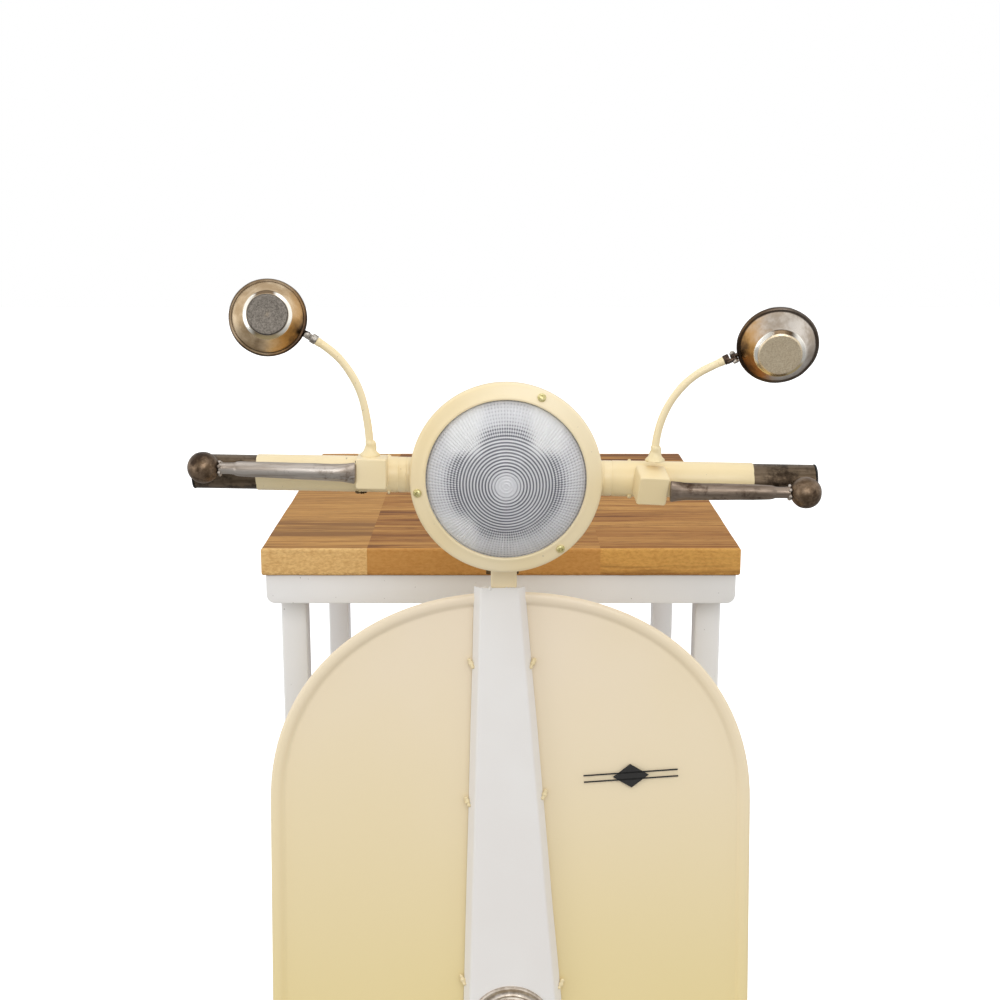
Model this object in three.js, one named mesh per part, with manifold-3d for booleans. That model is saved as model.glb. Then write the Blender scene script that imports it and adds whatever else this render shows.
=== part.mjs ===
// A console table whose front is dressed as the front of a motor scooter.
// Units are millimetres. +Z is up, the scooter's nose points along -Y and +X is to its left hand,
// which is the right of somebody who stands in front of it. The origin is on the floor, at the
// middle of the whole object's length and width.

import * as THREE from 'three';
import { mergeVertices } from 'three/addons/utils/BufferGeometryUtils.js';
import Module from 'manifold-3d';

const wasm = await Module();
wasm.setup();

// ---- driving dimensions -------------------------------------------------------------------

const GAP = 0.3;                      // clearance between pieces that touch on the real object

// Table
const TOP_HEIGHT = 1020;              // upper face of the wooden top above the floor
const TOP_WIDTH = 546;
const TOP_DEPTH = 593;
const TOP_THICKNESS = 32;
const TABLE_X = -4;                   // the frame sits this far off the scooter's centre line
const APRON_WIDTH = 537;
const APRON_HEIGHT = 34;
const APRON_SETBACK = 6;              // apron face behind the wood's front edge
const APRON_TUBE = 30;
const LEG_SIZE = 30;
const LEG_SPREAD = 518;               // across the outer faces of a pair of legs
const LEG_INSET = 50;                 // outer leg faces in from the wood's front and back edges
const TUBE_WALL = 2;
const FOOT_HEIGHT = 8;
const SHELF_TOP = 360;
const SHELF_THICKNESS = 25;

// Scooter front
const WHEEL_RADIUS = 170;
const WHEEL_AHEAD = 300;              // wheel centre ahead of the wood's front edge
const TOTAL_LENGTH = TOP_DEPTH + WHEEL_AHEAD + WHEEL_RADIUS;
const FRONT_EDGE_Y = TOTAL_LENGTH / 2 - TOP_DEPTH;
const WHEEL_Y = FRONT_EDGE_Y - WHEEL_AHEAD;
const NOSE_X = 6;                     // centre line of the shield, wheel and fork
const RAKE = THREE.MathUtils.degToRad(8.17);      // the front end leans back at the top
const SHIELD_TOP_Z = 1007;
const SHIELD_AHEAD = 128;             // top of the shield ahead of the wood's front edge
const SHIELD_HALF_WIDTH = 254.5;
const SHIELD_ARCH = 225;              // height of the arched top, down to the parallel sides
const SHIELD_ARCH_POWER = 2.15;       // exponent of the superellipse that the arch follows
const SHIELD_BOTTOM_Z = 280;
const SHEET = 3;
const NOTCH_HALF_WIDTH = 82;          // wheel opening between the two panels
const NOTCH_TOP_Z = 432;

// Centre channel
const STRIP_TOP_Z = 1013;
const STRIP_BOTTOM_Z = 440;
const STRIP_HALF_TOP = 26.5;
const STRIP_HALF_BOTTOM = 60;
const STRIP_PROUD = 15;               // channel face in front of the panels
const STRIP_BEVEL = 7;                // how far its side walls slope in
const STRIP_LEAN = THREE.MathUtils.degToRad(1.76); // welded on slightly out of true
const STRIP_TOP_X = -5.5;
const COLUMN_SIZE = 27;
const COLUMN_BOTTOM_Z = 424;           // its lower end, just above the fork's crown
const CROWN_Z = 408;                  // middle of the fork's crown
const HORN_RADIUS = 46;
const HORN_Z = 546;

// Headlight
const LAMP_X = 1;
const LAMP_Z = 1139;
const LAMP_AHEAD = 190;               // rim plane ahead of the wood's front edge
const RING_RADIUS = 96;
const LENS_RADIUS = 79;
const LENS_RISE = 38;
const SHELL_RADIUS = 88;
const SHELL_DEPTH = 96;               // rim plane to the back of the shell

// Handlebar
const BAR_AHEAD = 160;
const BAR_Z = 1136;
const BAR_TILT = THREE.MathUtils.degToRad(1.04);  // the +X end is the lower one
const BAR_RADIUS = 17.2;
const SLEEVE_RADIUS = 18.1;
const SLEEVE_BORE = 17.6;
const BAR_END = 311;
const CAP_FLANGE = 2;
const BAR_INNER = 91;
const SLEEVE_INNER = 99;
const SLEEVE_STEP = 107;              // the sleeve's inner end is turned down a little
const SLEEVE_OUTER = 249;
const LEVER_FORWARD = 40;             // lever in front of the bar's centre line
const BALL_RADIUS = 15.5;
const BLOCK_RISE = 7.5;               // clamp block's middle above the bar's centre line

// Mirrors
const MIRROR_RADIUS = 38;
const MIRROR_DEPTH = 22;
const ARM_RADIUS = 4;

// Wheel
const TYRE_HALF_WIDTH = 40;
const RIM_RADIUS = 112;
const AXLE_RADIUS = 6;
const GUARD_RADIUS = 200;
const GUARD_HALF_WIDTH = 60;
const GUARD_SHEET = 2.5;
const FORK_X = 69;                    // fork blades either side of the wheel's centre

// ---- materials ----------------------------------------------------------------------------

function finish(color, roughness, metalness = 0) {
  return new THREE.MeshStandardMaterial({ color, roughness, metalness });
}

const cream = finish(0xe8d9ad, 0.35);
const white = finish(0xe2e1dd, 0.4);
const wood = finish(0xc49c62, 0.6);
const bareSteel = finish(0xa39a8c, 0.35, 0.9);
const brownSteel = finish(0x6b5843, 0.4, 0.8);
const black = finish(0x1c1c1c, 0.5);
const glass = finish(0xc8cdd0, 0.08);
const silver = finish(0xd5d5d5, 0.15, 1);
const rubber = finish(0x222222, 0.8);

// ---- geometry helpers ---------------------------------------------------------------------

function toSolid(geometry) {
  let bare = geometry.index ? geometry.toNonIndexed() : geometry.clone();
  bare.deleteAttribute('normal');
  bare.deleteAttribute('uv');
  bare = mergeVertices(bare, 1e-4);
  return new wasm.Manifold(new wasm.Mesh({
    numProp: 3,
    vertProperties: new Float32Array(bare.attributes.position.array),
    triVerts: new Uint32Array(bare.index.array),
  }));
}

function toGeometry(solid) {
  const mesh = solid.getMesh();
  const geometry = new THREE.BufferGeometry();
  geometry.setAttribute('position', new THREE.BufferAttribute(new Float32Array(mesh.vertProperties), 3));
  geometry.setIndex(new THREE.BufferAttribute(new Uint32Array(mesh.triVerts), 1));
  geometry.computeVertexNormals();
  return geometry;
}

function subtract(geometry, ...tools) {
  return toGeometry(tools.reduce((solid, tool) => solid.subtract(toSolid(tool)), toSolid(geometry)));
}

function join(geometry, ...others) {
  return toGeometry(others.reduce((solid, other) => solid.add(toSolid(other)), toSolid(geometry)));
}

function box(sx, sy, sz, x = 0, y = 0, z = 0) {
  return new THREE.BoxGeometry(sx, sy, sz).translate(x, y, z);
}

// A solid of revolution about +Z; each point is [radius, height].
function turned(profile, segments = 24) {
  const points = profile.map(([r, h]) => new THREE.Vector2(r, h));
  return new THREE.LatheGeometry(points, segments).rotateX(Math.PI / 2);
}

// A round bar along +Z between two heights.
function rod(radius, low, high, segments = 16) {
  return new THREE.CylinderGeometry(radius, radius, high - low, segments)
    .rotateX(Math.PI / 2).translate(0, 0, (low + high) / 2);
}

// A round tube along +Z, open at both ends.
function pipe(outer, inner, low, high, segments = 20) {
  return turned([[inner, low], [outer, low], [outer, high], [inner, high], [inner, low]], segments);
}

// A rounded rectangle as a shape or, as a hole, a path.
function roundedRect(width, height, radius, Kind = THREE.Shape) {
  const w = width / 2;
  const h = height / 2;
  const path = new Kind();
  path.moveTo(-w + radius, -h);
  path.lineTo(w - radius, -h);
  path.absarc(w - radius, -h + radius, radius, -Math.PI / 2, 0, false);
  path.lineTo(w, h - radius);
  path.absarc(w - radius, h - radius, radius, 0, Math.PI / 2, false);
  path.lineTo(-w + radius, h);
  path.absarc(-w + radius, h - radius, radius, Math.PI / 2, Math.PI, false);
  path.lineTo(-w, -h + radius);
  path.absarc(-w + radius, -h + radius, radius, Math.PI, 1.5 * Math.PI, false);
  return path;
}

// A rectangular tube along +Z with rounded corners, open at both ends.
function squareTube(width, height, length) {
  const section = roundedRect(width, height, 3);
  section.holes.push(roundedRect(width - 2 * TUBE_WALL, height - 2 * TUBE_WALL, 1, THREE.Path));
  return new THREE.ExtrudeGeometry(section, { depth: length, bevelEnabled: false, curveSegments: 1 });
}

// A round section swept along a smooth curve through points.
function swept(radius, points, steps, sides) {
  const circle = new THREE.Shape().absarc(0, 0, radius, 0, 2 * Math.PI, false);
  return new THREE.ExtrudeGeometry(circle, {
    extrudePath: new THREE.CatmullRomCurve3(points),
    steps,
    curveSegments: sides / 2,
    bevelEnabled: false,
  });
}

// A solid along +Z through elliptical stations, each [height, half width in x, half width in y].
function loft(stations, sides = 16) {
  const vertices = [];
  const faces = [];
  for (const [z, rx, ry] of stations) {
    for (let i = 0; i < sides; i++) {
      const a = 2 * Math.PI * i / sides;
      vertices.push(rx * Math.cos(a), ry * Math.sin(a), z);
    }
  }
  for (let k = 0; k < stations.length - 1; k++) {
    for (let i = 0; i < sides; i++) {
      const a = k * sides + i;
      const b = k * sides + (i + 1) % sides;
      faces.push(a, b, b + sides, a, b + sides, a + sides);
    }
  }
  const last = (stations.length - 1) * sides;
  for (let i = 1; i < sides - 1; i++) {
    faces.push(0, i + 1, i);
    faces.push(last, last + i, last + i + 1);
  }
  const geometry = new THREE.BufferGeometry();
  geometry.setAttribute('position', new THREE.BufferAttribute(new Float32Array(vertices), 3));
  geometry.setIndex(faces);
  geometry.computeVertexNormals();
  return geometry;
}

function part(name, geometry, material, parent, position = [0, 0, 0], rotation = [0, 0, 0]) {
  const mesh = new THREE.Mesh(geometry, material.clone());
  mesh.name = name;
  mesh.position.set(...position);
  mesh.rotation.set(...rotation);
  parent.add(mesh);
  return mesh;
}

const SIDES = [['left', -1], ['right', 1]];

// ---- table --------------------------------------------------------------------------------

function buildTable() {
  const table = new THREE.Group();
  table.position.x = TABLE_X;
  const backEdgeY = FRONT_EDGE_Y + TOP_DEPTH;
  const middleY = FRONT_EDGE_Y + TOP_DEPTH / 2;
  const easing = 2.5;

  const boardShape = roundedRect(TOP_WIDTH - 2 * easing, TOP_DEPTH - 2 * easing, 1);
  const board = new THREE.ExtrudeGeometry(boardShape, {
    depth: TOP_THICKNESS - 2 * easing,
    bevelSize: easing,
    bevelThickness: easing,
    bevelSegments: 3,
    curveSegments: 2,
  });
  part('table_top', board, wood, table, [0, middleY, TOP_HEIGHT - TOP_THICKNESS + easing]);

  // Four apron rails make the frame that the wood rests on. The front and back ones run full width.
  const apronTop = TOP_HEIGHT - TOP_THICKNESS - GAP;
  const apronZ = apronTop - APRON_HEIGHT / 2;
  const frontRailY = FRONT_EDGE_Y + APRON_SETBACK + APRON_TUBE / 2;
  const backRailY = backEdgeY - APRON_SETBACK - APRON_TUBE / 2;
  const endRadius = 10;
  const railShape = new THREE.Shape();
  railShape.moveTo(-APRON_WIDTH / 2, APRON_HEIGHT / 2);
  railShape.lineTo(-APRON_WIDTH / 2, -APRON_HEIGHT / 2 + endRadius);
  railShape.absarc(-APRON_WIDTH / 2 + endRadius, -APRON_HEIGHT / 2 + endRadius, endRadius,
    Math.PI, 1.5 * Math.PI, false);
  railShape.lineTo(APRON_WIDTH / 2 - endRadius, -APRON_HEIGHT / 2);
  railShape.absarc(APRON_WIDTH / 2 - endRadius, -APRON_HEIGHT / 2 + endRadius, endRadius,
    1.5 * Math.PI, 2 * Math.PI, false);
  railShape.lineTo(APRON_WIDTH / 2, APRON_HEIGHT / 2);
  for (const [name, y] of [['front', frontRailY], ['back', backRailY]]) {
    const rail = new THREE.ExtrudeGeometry(railShape, {
      depth: APRON_TUBE,
      bevelEnabled: false,
      curveSegments: 5,
    }).rotateX(Math.PI / 2).translate(0, APRON_TUBE / 2, 0);
    part(`apron_${name}`, rail, white, table, [0, y, apronZ]);
  }
  const sideWidth = 40;
  const sideLength = backRailY - frontRailY - APRON_TUBE - 2 * GAP;
  for (const [name, side] of SIDES) {
    part(`apron_${name}`, squareTube(sideWidth, APRON_HEIGHT, sideLength), white, table,
      [side * (APRON_WIDTH - sideWidth) / 2, frontRailY + APRON_TUBE / 2 + GAP + sideLength, apronZ],
      [Math.PI / 2, 0, 0]);
  }

  // Legs on plastic feet.
  const legX = (LEG_SPREAD - LEG_SIZE) / 2;
  const frontLegY = FRONT_EDGE_Y + LEG_INSET + LEG_SIZE / 2;
  const backLegY = backEdgeY - LEG_INSET - LEG_SIZE / 2;
  const legLength = apronTop - APRON_HEIGHT - FOOT_HEIGHT - 2 * GAP;
  for (const [end, y] of [['front', frontLegY], ['back', backLegY]]) {
    for (const [name, side] of SIDES) {
      part(`leg_${end}_${name}`, squareTube(LEG_SIZE, LEG_SIZE, legLength), white, table,
        [side * legX, y, FOOT_HEIGHT + GAP]);
      const plug = LEG_SIZE - 2 * TUBE_WALL - 2;
      const sole = box(LEG_SIZE, LEG_SIZE, FOOT_HEIGHT, 0, 0, FOOT_HEIGHT / 2);
      const foot = join(sole, box(plug, plug, 30, 0, 0, 15));
      part(`foot_${end}_${name}`, foot, black, table, [side * legX, y, 0]);
    }
  }

  // Lower shelf between the legs, on two cross rails.
  const shelfWidth = LEG_SPREAD - 2 * LEG_SIZE - 2 * GAP;
  const shelfDepth = backLegY - frontLegY + LEG_SIZE;
  const shelf = new THREE.ExtrudeGeometry(roundedRect(shelfWidth - 4, shelfDepth - 4, 1), {
    depth: SHELF_THICKNESS - 4,
    bevelSize: 2,
    bevelThickness: 2,
    bevelSegments: 2,
    curveSegments: 2,
  });
  part('shelf_board', shelf, wood, table, [0, middleY, SHELF_TOP - SHELF_THICKNESS + 2]);
  for (const [end, y] of [['front', frontLegY], ['back', backLegY]]) {
    part(`shelf_rail_${end}`, squareTube(LEG_SIZE, LEG_SIZE, shelfWidth), white, table,
      [-shelfWidth / 2, y, SHELF_TOP - SHELF_THICKNESS - GAP - LEG_SIZE / 2], [Math.PI / 2, Math.PI / 2, 0]);
  }
  return table;
}

// Back of the headlight shell as [radius, height] from its rear pole to the start of the drum;
// the lamp's own +z points forward from the rim plane. `grow` moves the surface outwards.
function shellProfile(grow) {
  return [
    [0, -SHELL_DEPTH - grow],
    [40, -SHELL_DEPTH + 3 - grow],
    [70 + 0.7 * grow, -SHELL_DEPTH + 10 - 0.7 * grow],
    [SHELL_RADIUS + grow, -SHELL_DEPTH + 26],
  ];
}

const LAMP_PLACE = [LAMP_X, FRONT_EDGE_Y - LAMP_AHEAD, LAMP_Z];

// ---- leg shield ---------------------------------------------------------------------------

// Local frame of the raked front end: z runs up the rake and y = 0 is the panels' front face.
const SHIELD_ORIGIN = [NOSE_X, FRONT_EDGE_Y - SHIELD_AHEAD, SHIELD_TOP_Z];
const drop = (z) => (SHIELD_TOP_Z - z) / Math.cos(RAKE);      // distance down the rake to a height

function stripHalf(z) {
  const share = (STRIP_TOP_Z - z) / (STRIP_TOP_Z - STRIP_BOTTOM_Z);
  return STRIP_HALF_TOP + share * (STRIP_HALF_BOTTOM - STRIP_HALF_TOP);
}

function stripCentre(z) {
  return STRIP_TOP_X - NOSE_X + (STRIP_TOP_Z - z) * Math.tan(STRIP_LEAN);
}

function archWidth(down) {
  const t = Math.min(down / SHIELD_ARCH, 1);
  return SHIELD_HALF_WIDTH * Math.pow(1 - Math.pow(1 - t, SHIELD_ARCH_POWER), 1 / SHIELD_ARCH_POWER);
}

// Outline of one panel, seen from the front, with its outer edge moved in by `inset`.
function panelOutline(side, inset, innerInset) {
  const bottom = drop(SHIELD_BOTTOM_Z);
  const notch = drop(NOTCH_TOP_Z);
  const tuck = 8;                     // panel edge inside the channel's side wall
  const topEdge = stripCentre(SHIELD_TOP_Z) + side * (stripHalf(SHIELD_TOP_Z) - tuck + innerInset);
  const notchEdge = stripCentre(NOTCH_TOP_Z) + side * (stripHalf(NOTCH_TOP_Z) - tuck + innerInset);
  const outer = [];
  const steps = 22;
  for (let i = 0; i <= steps; i++) {
    const down = SHIELD_ARCH * Math.pow(i / steps, 2.2);
    outer.push([side * archWidth(down), -down]);
  }
  const cornerRadius = 60;
  const corner = 8;
  for (let i = 0; i <= corner; i++) {
    const a = (i / corner) * Math.PI / 2;
    outer.push([side * (SHIELD_HALF_WIDTH - cornerRadius + cornerRadius * Math.cos(a)),
      -bottom + cornerRadius - cornerRadius * Math.sin(a)]);
  }
  // Move the outer edge inwards along its normal.
  const moved = outer.map(([x, z], i) => {
    const [ax, az] = outer[Math.max(i - 1, 0)];
    const [bx, bz] = outer[Math.min(i + 1, outer.length - 1)];
    const length = Math.hypot(bx - ax, bz - az);
    const belowMiddle = z < -bottom / 2;
    const rise = (belowMiddle ? inset : -inset) * Math.abs(bx - ax) / length;
    return [x - side * inset * Math.abs(bz - az) / length, z + rise];
  });
  const kept = moved.filter(([x]) => side * (x - topEdge) > 1);
  const startZ = kept[0][1];
  const shape = new THREE.Shape();
  shape.moveTo(topEdge, startZ);
  for (const [x, z] of kept) shape.lineTo(x, z);
  const wheelEdge = side * (NOTCH_HALF_WIDTH + innerInset);
  shape.lineTo(wheelEdge, -bottom + inset);
  const roll = 30;
  for (let i = 0; i <= 6; i++) {
    const a = (i / 6) * Math.PI / 2;
    const rolled = [roll * (1 - Math.cos(a)), roll * (1 - Math.sin(a))];
    shape.lineTo(wheelEdge - side * rolled[0], -notch - innerInset - rolled[1]);
  }
  shape.lineTo(notchEdge, -notch - innerInset);
  shape.closePath();
  return shape;
}

function buildShield() {
  const front = new THREE.Group();
  front.position.set(...SHIELD_ORIGIN);
  front.rotation.x = -RAKE;
  const rimWidth = 9;
  const rimFront = 4;
  const rimBack = SHEET;
  for (const [name, side] of SIDES) {
    const upright = (shape, depth, y) => new THREE.ExtrudeGeometry(shape, {
      depth, bevelEnabled: false, curveSegments: 8,
    }).rotateX(Math.PI / 2).translate(0, y, 0);
    const sheet = upright(panelOutline(side, 0, 0), SHEET, SHEET);
    const block = upright(panelOutline(side, 0, 8.6), rimFront + rimBack, rimBack);
    const middle = upright(panelOutline(side, rimWidth, -30), rimFront + rimBack + 4, rimBack + 2);
    // The rim stands proud along the outer edge only.
    const rim = subtract(block, middle);
    part(`shield_panel_${name}`, join(sheet, rim), cream, front);
  }

  // Tapered channel: a flat face with two sloping side walls, open behind and at both ends.
  const wall = 2;
  const top = -drop(STRIP_TOP_Z);
  const bottom = -drop(STRIP_BOTTOM_Z);
  const taper = (inset, depthFront, depthBack) => {
    const corners = [];
    for (const [z, worldZ] of [[top, STRIP_TOP_Z], [bottom, STRIP_BOTTOM_Z]]) {
      const half = stripHalf(worldZ) - inset;
      const centre = stripCentre(worldZ);
      corners.push([centre - half, depthBack, z], [centre - half + STRIP_BEVEL, depthFront, z],
        [centre + half - STRIP_BEVEL, depthFront, z], [centre + half, depthBack, z]);
    }
    return corners;
  };
  const outside = taper(0, -STRIP_PROUD, -GAP);
  const inside = taper(wall * 1.3, -STRIP_PROUD + wall, -GAP);
  // Section points run round the channel: outside, then back along the inside.
  const ring = [0, 1, 2, 3];
  const vertices = [];
  for (const end of [0, 4]) {
    for (const i of ring) vertices.push(...outside[end + i]);
    for (const i of [...ring].reverse()) vertices.push(...inside[end + i]);
  }
  const faces = [];
  for (let i = 0; i < 8; i++) {
    const j = (i + 1) % 8;
    faces.push(i, 8 + i, 8 + j, i, 8 + j, j);
  }
  for (const [a, b, c, d] of [[0, 1, 6, 7], [1, 2, 5, 6], [2, 3, 4, 5]]) {
    faces.push(a, b, c, a, c, d);
    faces.push(8 + c, 8 + b, 8 + a, 8 + d, 8 + c, 8 + a);
  }
  const channel = new THREE.BufferGeometry();
  channel.setAttribute('position', new THREE.BufferAttribute(new Float32Array(vertices), 3));
  channel.setIndex(faces);
  channel.computeVertexNormals();
  part('centre_strip', channel, white, front);

  // Square steering column inside the channel, from the fork crown up to the headlight shell,
  // where its end is cut to the shell's round underside.
  const columnBottom = -drop(COLUMN_BOTTOM_Z);
  const columnTop = -drop(LAMP_Z - SHELL_RADIUS / 2);
  const shellBody = turned([...shellProfile(GAP), [SHELL_RADIUS + GAP, 10], [0, 10]], 36)
    .rotateX(Math.PI / 2).translate(...LAMP_PLACE);
  front.updateMatrixWorld(true);
  shellBody.applyMatrix4(front.matrixWorld.clone().invert());
  const column = squareTube(COLUMN_SIZE, COLUMN_SIZE, columnTop - columnBottom)
    .translate(-7, COLUMN_SIZE / 2 - STRIP_PROUD + wall + GAP + 0.5, columnBottom);
  part('steering_column', subtract(column, shellBody), cream, front);

  // Round pressed disc on the channel's face.
  const disc = turned([
    [0, 0], [HORN_RADIUS - 1, 0], [HORN_RADIUS, 1], [HORN_RADIUS, 5], [HORN_RADIUS - 2, 6.5],
    [HORN_RADIUS - 5, 6], [HORN_RADIUS - 9, 4.5], [14, 8], [10, 11], [0, 12],
  ], 28);
  part('horn_disc', disc, bareSteel, front,
    [stripCentre(HORN_Z) - 2, -STRIP_PROUD - GAP, -drop(HORN_Z)], [Math.PI / 2, 0, 0]);
  return front;
}

// Four square struts tie the panels to the front legs.
function buildStruts(parent) {
  const strut = 20;
  const strutX = 234;                 // either side of the table's middle, clear of the panels' rims
  const legFaceY = FRONT_EDGE_Y + LEG_INSET;
  const panelBack = (z) => FRONT_EDGE_Y - SHIELD_AHEAD - (SHIELD_TOP_Z - z) * Math.tan(RAKE)
    + SHEET / Math.cos(RAKE);
  for (const [level, z] of [['upper', 700], ['lower', 400]]) {
    for (const [name, side] of SIDES) {
      const start = panelBack(z) + 12 * Math.tan(RAKE) + GAP;
      const length = legFaceY - GAP - start;
      part(`strut_${level}_${name}`, squareTube(strut, strut, length), white, parent,
        [TABLE_X + side * strutX, start + length, z], [Math.PI / 2, 0, 0]);
    }
  }
}

// ---- headlight ----------------------------------------------------------------------------

function buildHeadlight() {
  const lamp = new THREE.Group();
  lamp.position.set(...LAMP_PLACE);
  lamp.rotation.x = Math.PI / 2;      // the lamp's own +z points forward

  const wall = 2;
  const shell = turned([
    ...shellProfile(0), [SHELL_RADIUS, -9], [SHELL_RADIUS - wall, -9], ...shellProfile(-wall).reverse(),
  ], 36);
  part('headlight_shell', shell, cream, lamp);

  // Rim ring: a shallow cone with a turned-back skirt, lipped round the glass.
  const ring = turned([
    [RING_RADIUS - 2, -12], [RING_RADIUS, -12], [RING_RADIUS, -3], [RING_RADIUS - 2, 0],
    [LENS_RADIUS + 3, 4], [LENS_RADIUS + GAP, 3.5], [LENS_RADIUS + GAP, 1], [LENS_RADIUS + 3, 0.5],
    [RING_RADIUS - 3.5, -3], [RING_RADIUS - 2, -5], [RING_RADIUS - 2, -12],
  ], 36);
  part('headlight_ring', ring, cream, lamp);

  // Lens: a pressed dome with a flange clamped behind the ring.
  const domeRadius = (LENS_RADIUS * LENS_RADIUS + LENS_RISE * LENS_RISE) / (2 * LENS_RISE);
  const domeCentre = LENS_RISE - domeRadius;
  const domeSteps = 6;
  const dome = (radius, edge, reversed) => {
    const points = [];
    for (let i = 0; i <= domeSteps; i++) {
      const r = edge * (reversed ? i : domeSteps - i) / domeSteps;
      points.push([r, domeCentre + Math.sqrt(radius * radius - r * r)]);
    }
    return points;
  };
  const thickness = 3.5;
  const lens = turned([
    ...dome(domeRadius - thickness, LENS_RADIUS - thickness, true), [LENS_RADIUS - thickness, -3],
    [LENS_RADIUS + 4, -3], [LENS_RADIUS + 4, -0.2], [LENS_RADIUS, -0.2],
    ...dome(domeRadius, LENS_RADIUS, false).slice(1),
  ], 36);
  part('headlight_lens', lens, glass, lamp);

  // Reflector bowl behind the glass.
  const bowl = [];
  const bowlRadius = LENS_RADIUS + 4;
  const bowlDepth = 52;
  for (let i = 0; i <= 6; i++) bowl.push([bowlRadius * i / 6, -4 - bowlDepth * (1 - Math.pow(i / 6, 2))]);
  const back = bowl.map(([r, z]) => [r, z - 1.5]);
  part('reflector', turned([...back, ...bowl.reverse()], 24), silver, lamp);

  // Three pan-head screws through the ring.
  const screwCircle = RING_RADIUS - 7;
  [66.9, 188.8, 307.7].forEach((angle, i) => {
    const a = THREE.MathUtils.degToRad(angle);
    const head = turned([[0, 0], [4, 0], [4.2, 1], [3.4, 2.4], [0, 3.2]], 12);
    const slope = Math.atan2(4, RING_RADIUS - LENS_RADIUS - 5);
    const holder = new THREE.Group();
    holder.rotation.z = a;
    lamp.add(holder);
    part(`ring_screw_${i + 1}`, head, cream, holder, [screwCircle, 0, 2.1], [0, slope, 0]);
  });
  return lamp;
}

// ---- handlebar ----------------------------------------------------------------------------

function buildHandlebar() {
  const bar = new THREE.Group();
  bar.position.set(0, FRONT_EDGE_Y - BAR_AHEAD, BAR_Z);
  bar.rotation.y = BAR_TILT;
  const along = Math.PI / 2;          // turns a piece made along +Z to lie along +X

  for (const [name, side] of SIDES) {
    const turn = side * along;
    const tube = pipe(BAR_RADIUS, BAR_RADIUS - 2, BAR_INNER, BAR_END - GAP, 20);
    part(`bar_tube_${name}`, tube, bareSteel, bar, [0, 0, 0], [0, turn, 0]);
    const sleeve = turned([
      [SLEEVE_BORE, SLEEVE_INNER], [SLEEVE_RADIUS - 0.5, SLEEVE_INNER], [SLEEVE_RADIUS - 0.5, SLEEVE_STEP],
      [SLEEVE_RADIUS, SLEEVE_STEP], [SLEEVE_RADIUS, SLEEVE_OUTER - 1], [SLEEVE_RADIUS - 0.3, SLEEVE_OUTER],
      [SLEEVE_BORE, SLEEVE_OUTER], [SLEEVE_BORE, SLEEVE_INNER],
    ], 20);
    part(`bar_sleeve_${name}`, sleeve, cream, bar, [0, 0, 0], [0, turn, 0]);
    const cap = turned([
      [0, BAR_END - 14], [BAR_RADIUS - 2 - GAP, BAR_END - 14], [BAR_RADIUS - 2 - GAP, BAR_END],
      [BAR_RADIUS + 0.6, BAR_END], [BAR_RADIUS + 0.6, BAR_END + CAP_FLANGE - 1],
      [BAR_RADIUS - 0.4, BAR_END + CAP_FLANGE], [0, BAR_END + CAP_FLANGE],
    ], 20);
    part(`bar_cap_${name}`, cap, black, bar, [0, 0, 0], [0, turn, 0]);
  }

  // Clamp blocks, levers and balls. The right-hand block was welded on turned down and askew.
  const levers = [
    { name: 'left', side: -1, blockX: -131.8, twist: [0, 0, 0], leverZ: 8.5, ballZ: 11.5 },
    { name: 'right', side: 1, blockX: 140.5, twist: [0.3, 0.1, 0.12], leverZ: -4, ballZ: -3 },
  ];
  for (const { name, side, blockX, twist, leverZ, ballZ } of levers) {
    const holder = new THREE.Group();
    holder.position.set(blockX, 0, 0);
    holder.rotation.set(...twist);
    bar.add(holder);
    const [width, height, depth] = [30, 30.5, 27];
    const body = new THREE.ExtrudeGeometry(roundedRect(width - 2, height - 2, 1.5), {
      depth: depth - 2,
      bevelSize: 1,
      bevelThickness: 1,
      bevelSegments: 1,
      curveSegments: 2,
    }).rotateX(Math.PI / 2).translate(0, depth - 1 - LEVER_FORWARD, BLOCK_RISE);
    const untwist = new THREE.Matrix4().makeRotationFromEuler(new THREE.Euler(...twist)).invert();
    const bore = new THREE.CylinderGeometry(SLEEVE_RADIUS + GAP, SLEEVE_RADIUS + GAP, 120, 20)
      .rotateZ(Math.PI / 2).applyMatrix4(untwist);
    part(`clamp_${name}`, subtract(body, bore), cream, holder);

    // Lever: a tube flattened where it meets the block, drawn in where the ball is welded on.
    const start = Math.abs(blockX) + width / 2 + (side > 0 ? 6.5 : GAP);
    const end = 296 - BALL_RADIUS - 0.4;
    const lever = new THREE.Group();
    lever.position.set(side * start, -LEVER_FORWARD, leverZ);
    lever.rotation.y = Math.atan2(side * (end - start), ballZ - leverZ);
    bar.add(lever);
    const length = end - start;
    const stations = [
      [0, 10.5, 3.2], [4, 10.2, 3.6], [16, 8.6, 7.4], [24, 8.3, 8.3], [length - 24, 7.4, 7.4],
      [length - 17, 7.0, 7.0], [length - 14, 5.6, 5.6], [length, 5.8, 5.8],
    ];
    part(`lever_${name}`, loft(stations), bareSteel, lever);
    part(`lever_ball_${name}`, new THREE.SphereGeometry(BALL_RADIUS, 16, 10), brownSteel, bar,
      [side * 296, -LEVER_FORWARD, ballZ]);
  }
  return bar;
}

// ---- mirrors ------------------------------------------------------------------------------

// A local frame whose +x runs along `out` and whose +z is the bolt's axis.
function knuckleFrame(origin, out, bolt) {
  const x = out.clone().normalize();
  const z = bolt.clone().addScaledVector(x, -bolt.dot(x)).normalize();
  const y = z.clone().cross(x);
  const frame = new THREE.Group();
  frame.position.copy(origin);
  frame.quaternion.setFromRotationMatrix(new THREE.Matrix4().makeBasis(x, y, z));
  return frame;
}

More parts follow.
